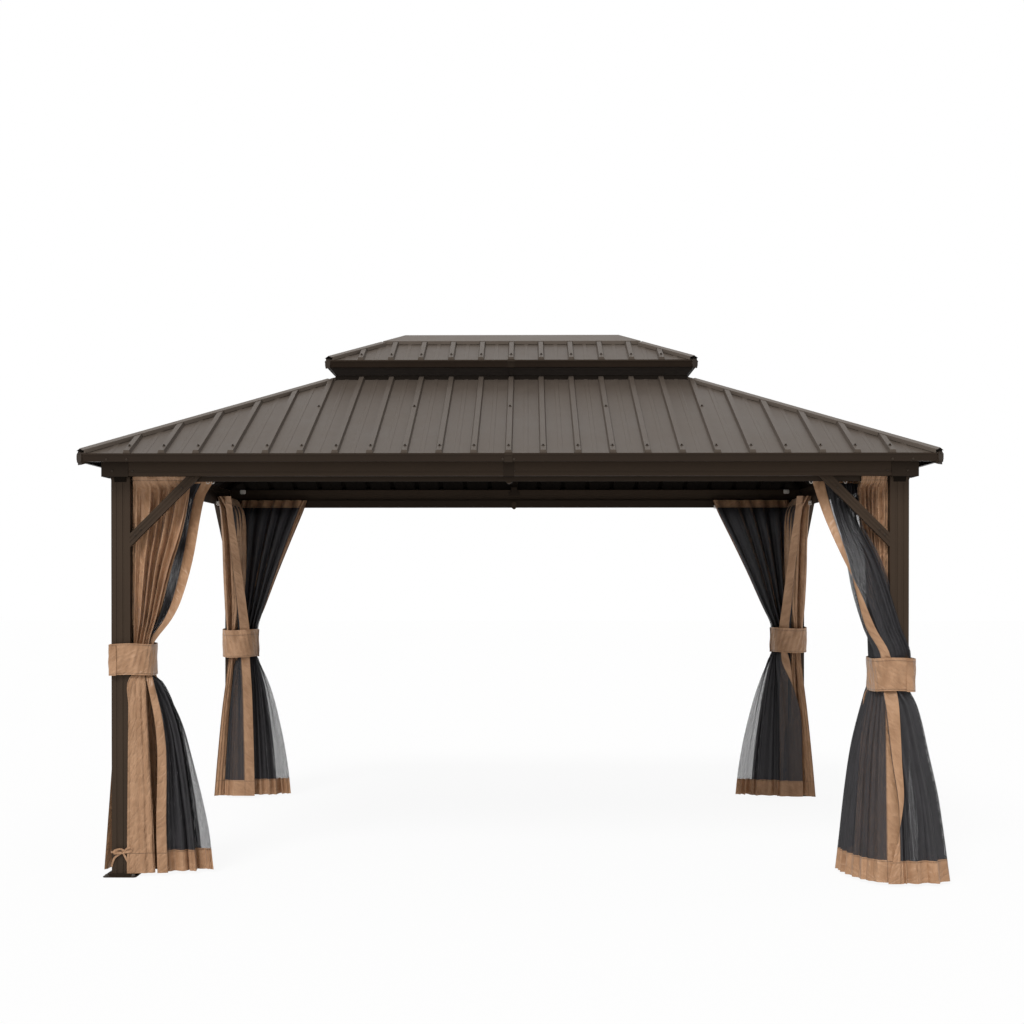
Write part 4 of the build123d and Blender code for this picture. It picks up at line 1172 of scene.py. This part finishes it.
deselect()
bpy.ops.mesh.primitive_torus_add(
    major_radius=0.0075, minor_radius=0.0016, major_segments=12, minor_segments=6,
    rotation=(math.pi / 2, 0, 0), location=(0, 0, -0.016),
)
ring = bpy.context.object
bpy.ops.object.transform_apply(location=True, rotation=True)
slider = rounded_block((0.016, 0.010, 0.012), (0, 0, -0.003), 0.0022, 2)
glider = join([ring, slider], "glider_model")
glider.data.materials.append(white_plastic)
print("faces of a glider", len(glider.data.polygons))

# %% Set the gliders and clips
glider_step, glider_depth, glider_z = 0.085, -0.036, 2.000
# How far the last glider of each row is from its post
head_reach = {
    "long": {FRONT_LEFT: 0.404, FRONT_RIGHT: 0.382, REAR_LEFT: 0.425, REAR_RIGHT: 0.515},
    "end": {FRONT_LEFT: 0.404, FRONT_RIGHT: 0.35, REAR_LEFT: 0.49, REAR_RIGHT: 0.49},
}
glider_spots = []
for corner in CORNER_NAMES:
    for bay in ("long", "end"):
        reach = head_reach[bay][corner]
        places = [0.04 + glider_step * k for k in range(int((reach - 0.06) / glider_step) + 1)]
        for along in (*places, reach):
            x, y = corner_spot(corner, bay, along, glider_depth)
            glider_spots.append(((x, y, glider_z), UP))
set_down(glider, glider_spots, "gliders")

clip = rounded_block((0.040, 0.024, 0.030), (0, 0, 0), 0.008, 3)
clip.data.materials.append(white_plastic)
set_down(clip, [((side * 1.885, 1.323, 2.096), UP) for side in (-1, 1)], "rail_clips")

# %% [markdown]
# ## The tape at the front left foot
# A narrow tape is tied round the front left post near the ground, in a bow. It is a strip
# one face wide that follows a smooth path, first round the post and then through the bow.


# %% Tape
def tape(name, sections, place_at):
    """A strip along a smooth path. place_at gives the spot for a share and a side step."""
    strip = flat_grid(name, sections, 1, lambda co: (0.5 + co.x, 0.3 + co.y * tape_wide))
    for vertex in strip.data.vertices:
        vertex.co = place_at(vertex.co.x + 0.5, vertex.co.y * tape_wide)
    strip.data.materials.append(tie_cloth)
    return strip


def on_ring(share, side):
    return (*loop_point(around_post, share), bow_z + side)


def on_bow(share, side):
    x, z, y = curve(bow_knots, bow, share)
    run, rise = heading(bow_knots, bow, share)
    return x - rise * side, y, z + run * side


tape_wide = 0.010
bow_x, bow_y, bow_z = -1.937, -1.364, 0.122
around_post = []
wall = post_half + 0.0025
for number in range(16):
    angle = 2 * math.pi * number / 16
    x, y = math.cos(angle), math.sin(angle)
    bigger = max(abs(x), abs(y))
    around_post.append((-post_mid_x + wall * x / bigger, -post_mid_y + wall * y / bigger))
# Places across, up and outward from the knot, in millimetres
BOW = [
    (-62, -75, 3), (-45, -30, -4), (-10, -4, -6), (6, 4, -6), (-12, 16, -10), (-40, 10, -14),
    (-44, -4, -14), (-18, -3, -9), (0, 0, -7), (22, 20, -12), (44, 26, -14), (40, 8, -13),
    (14, 0, -9), (2, -4, -8), (10, -22, -8), (22, -46, -7),
]
bow = [(bow_x + x / 1000, bow_z + z / 1000, bow_y + y / 1000) for x, z, y in BOW]
bow_knots = [k / (len(bow) - 1) for k in range(len(bow))]
whole_tape = join([tape("tape_ring", 96, on_ring), tape("tape_bow", 90, on_bow)], "tape")
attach(whole_tape, "root")
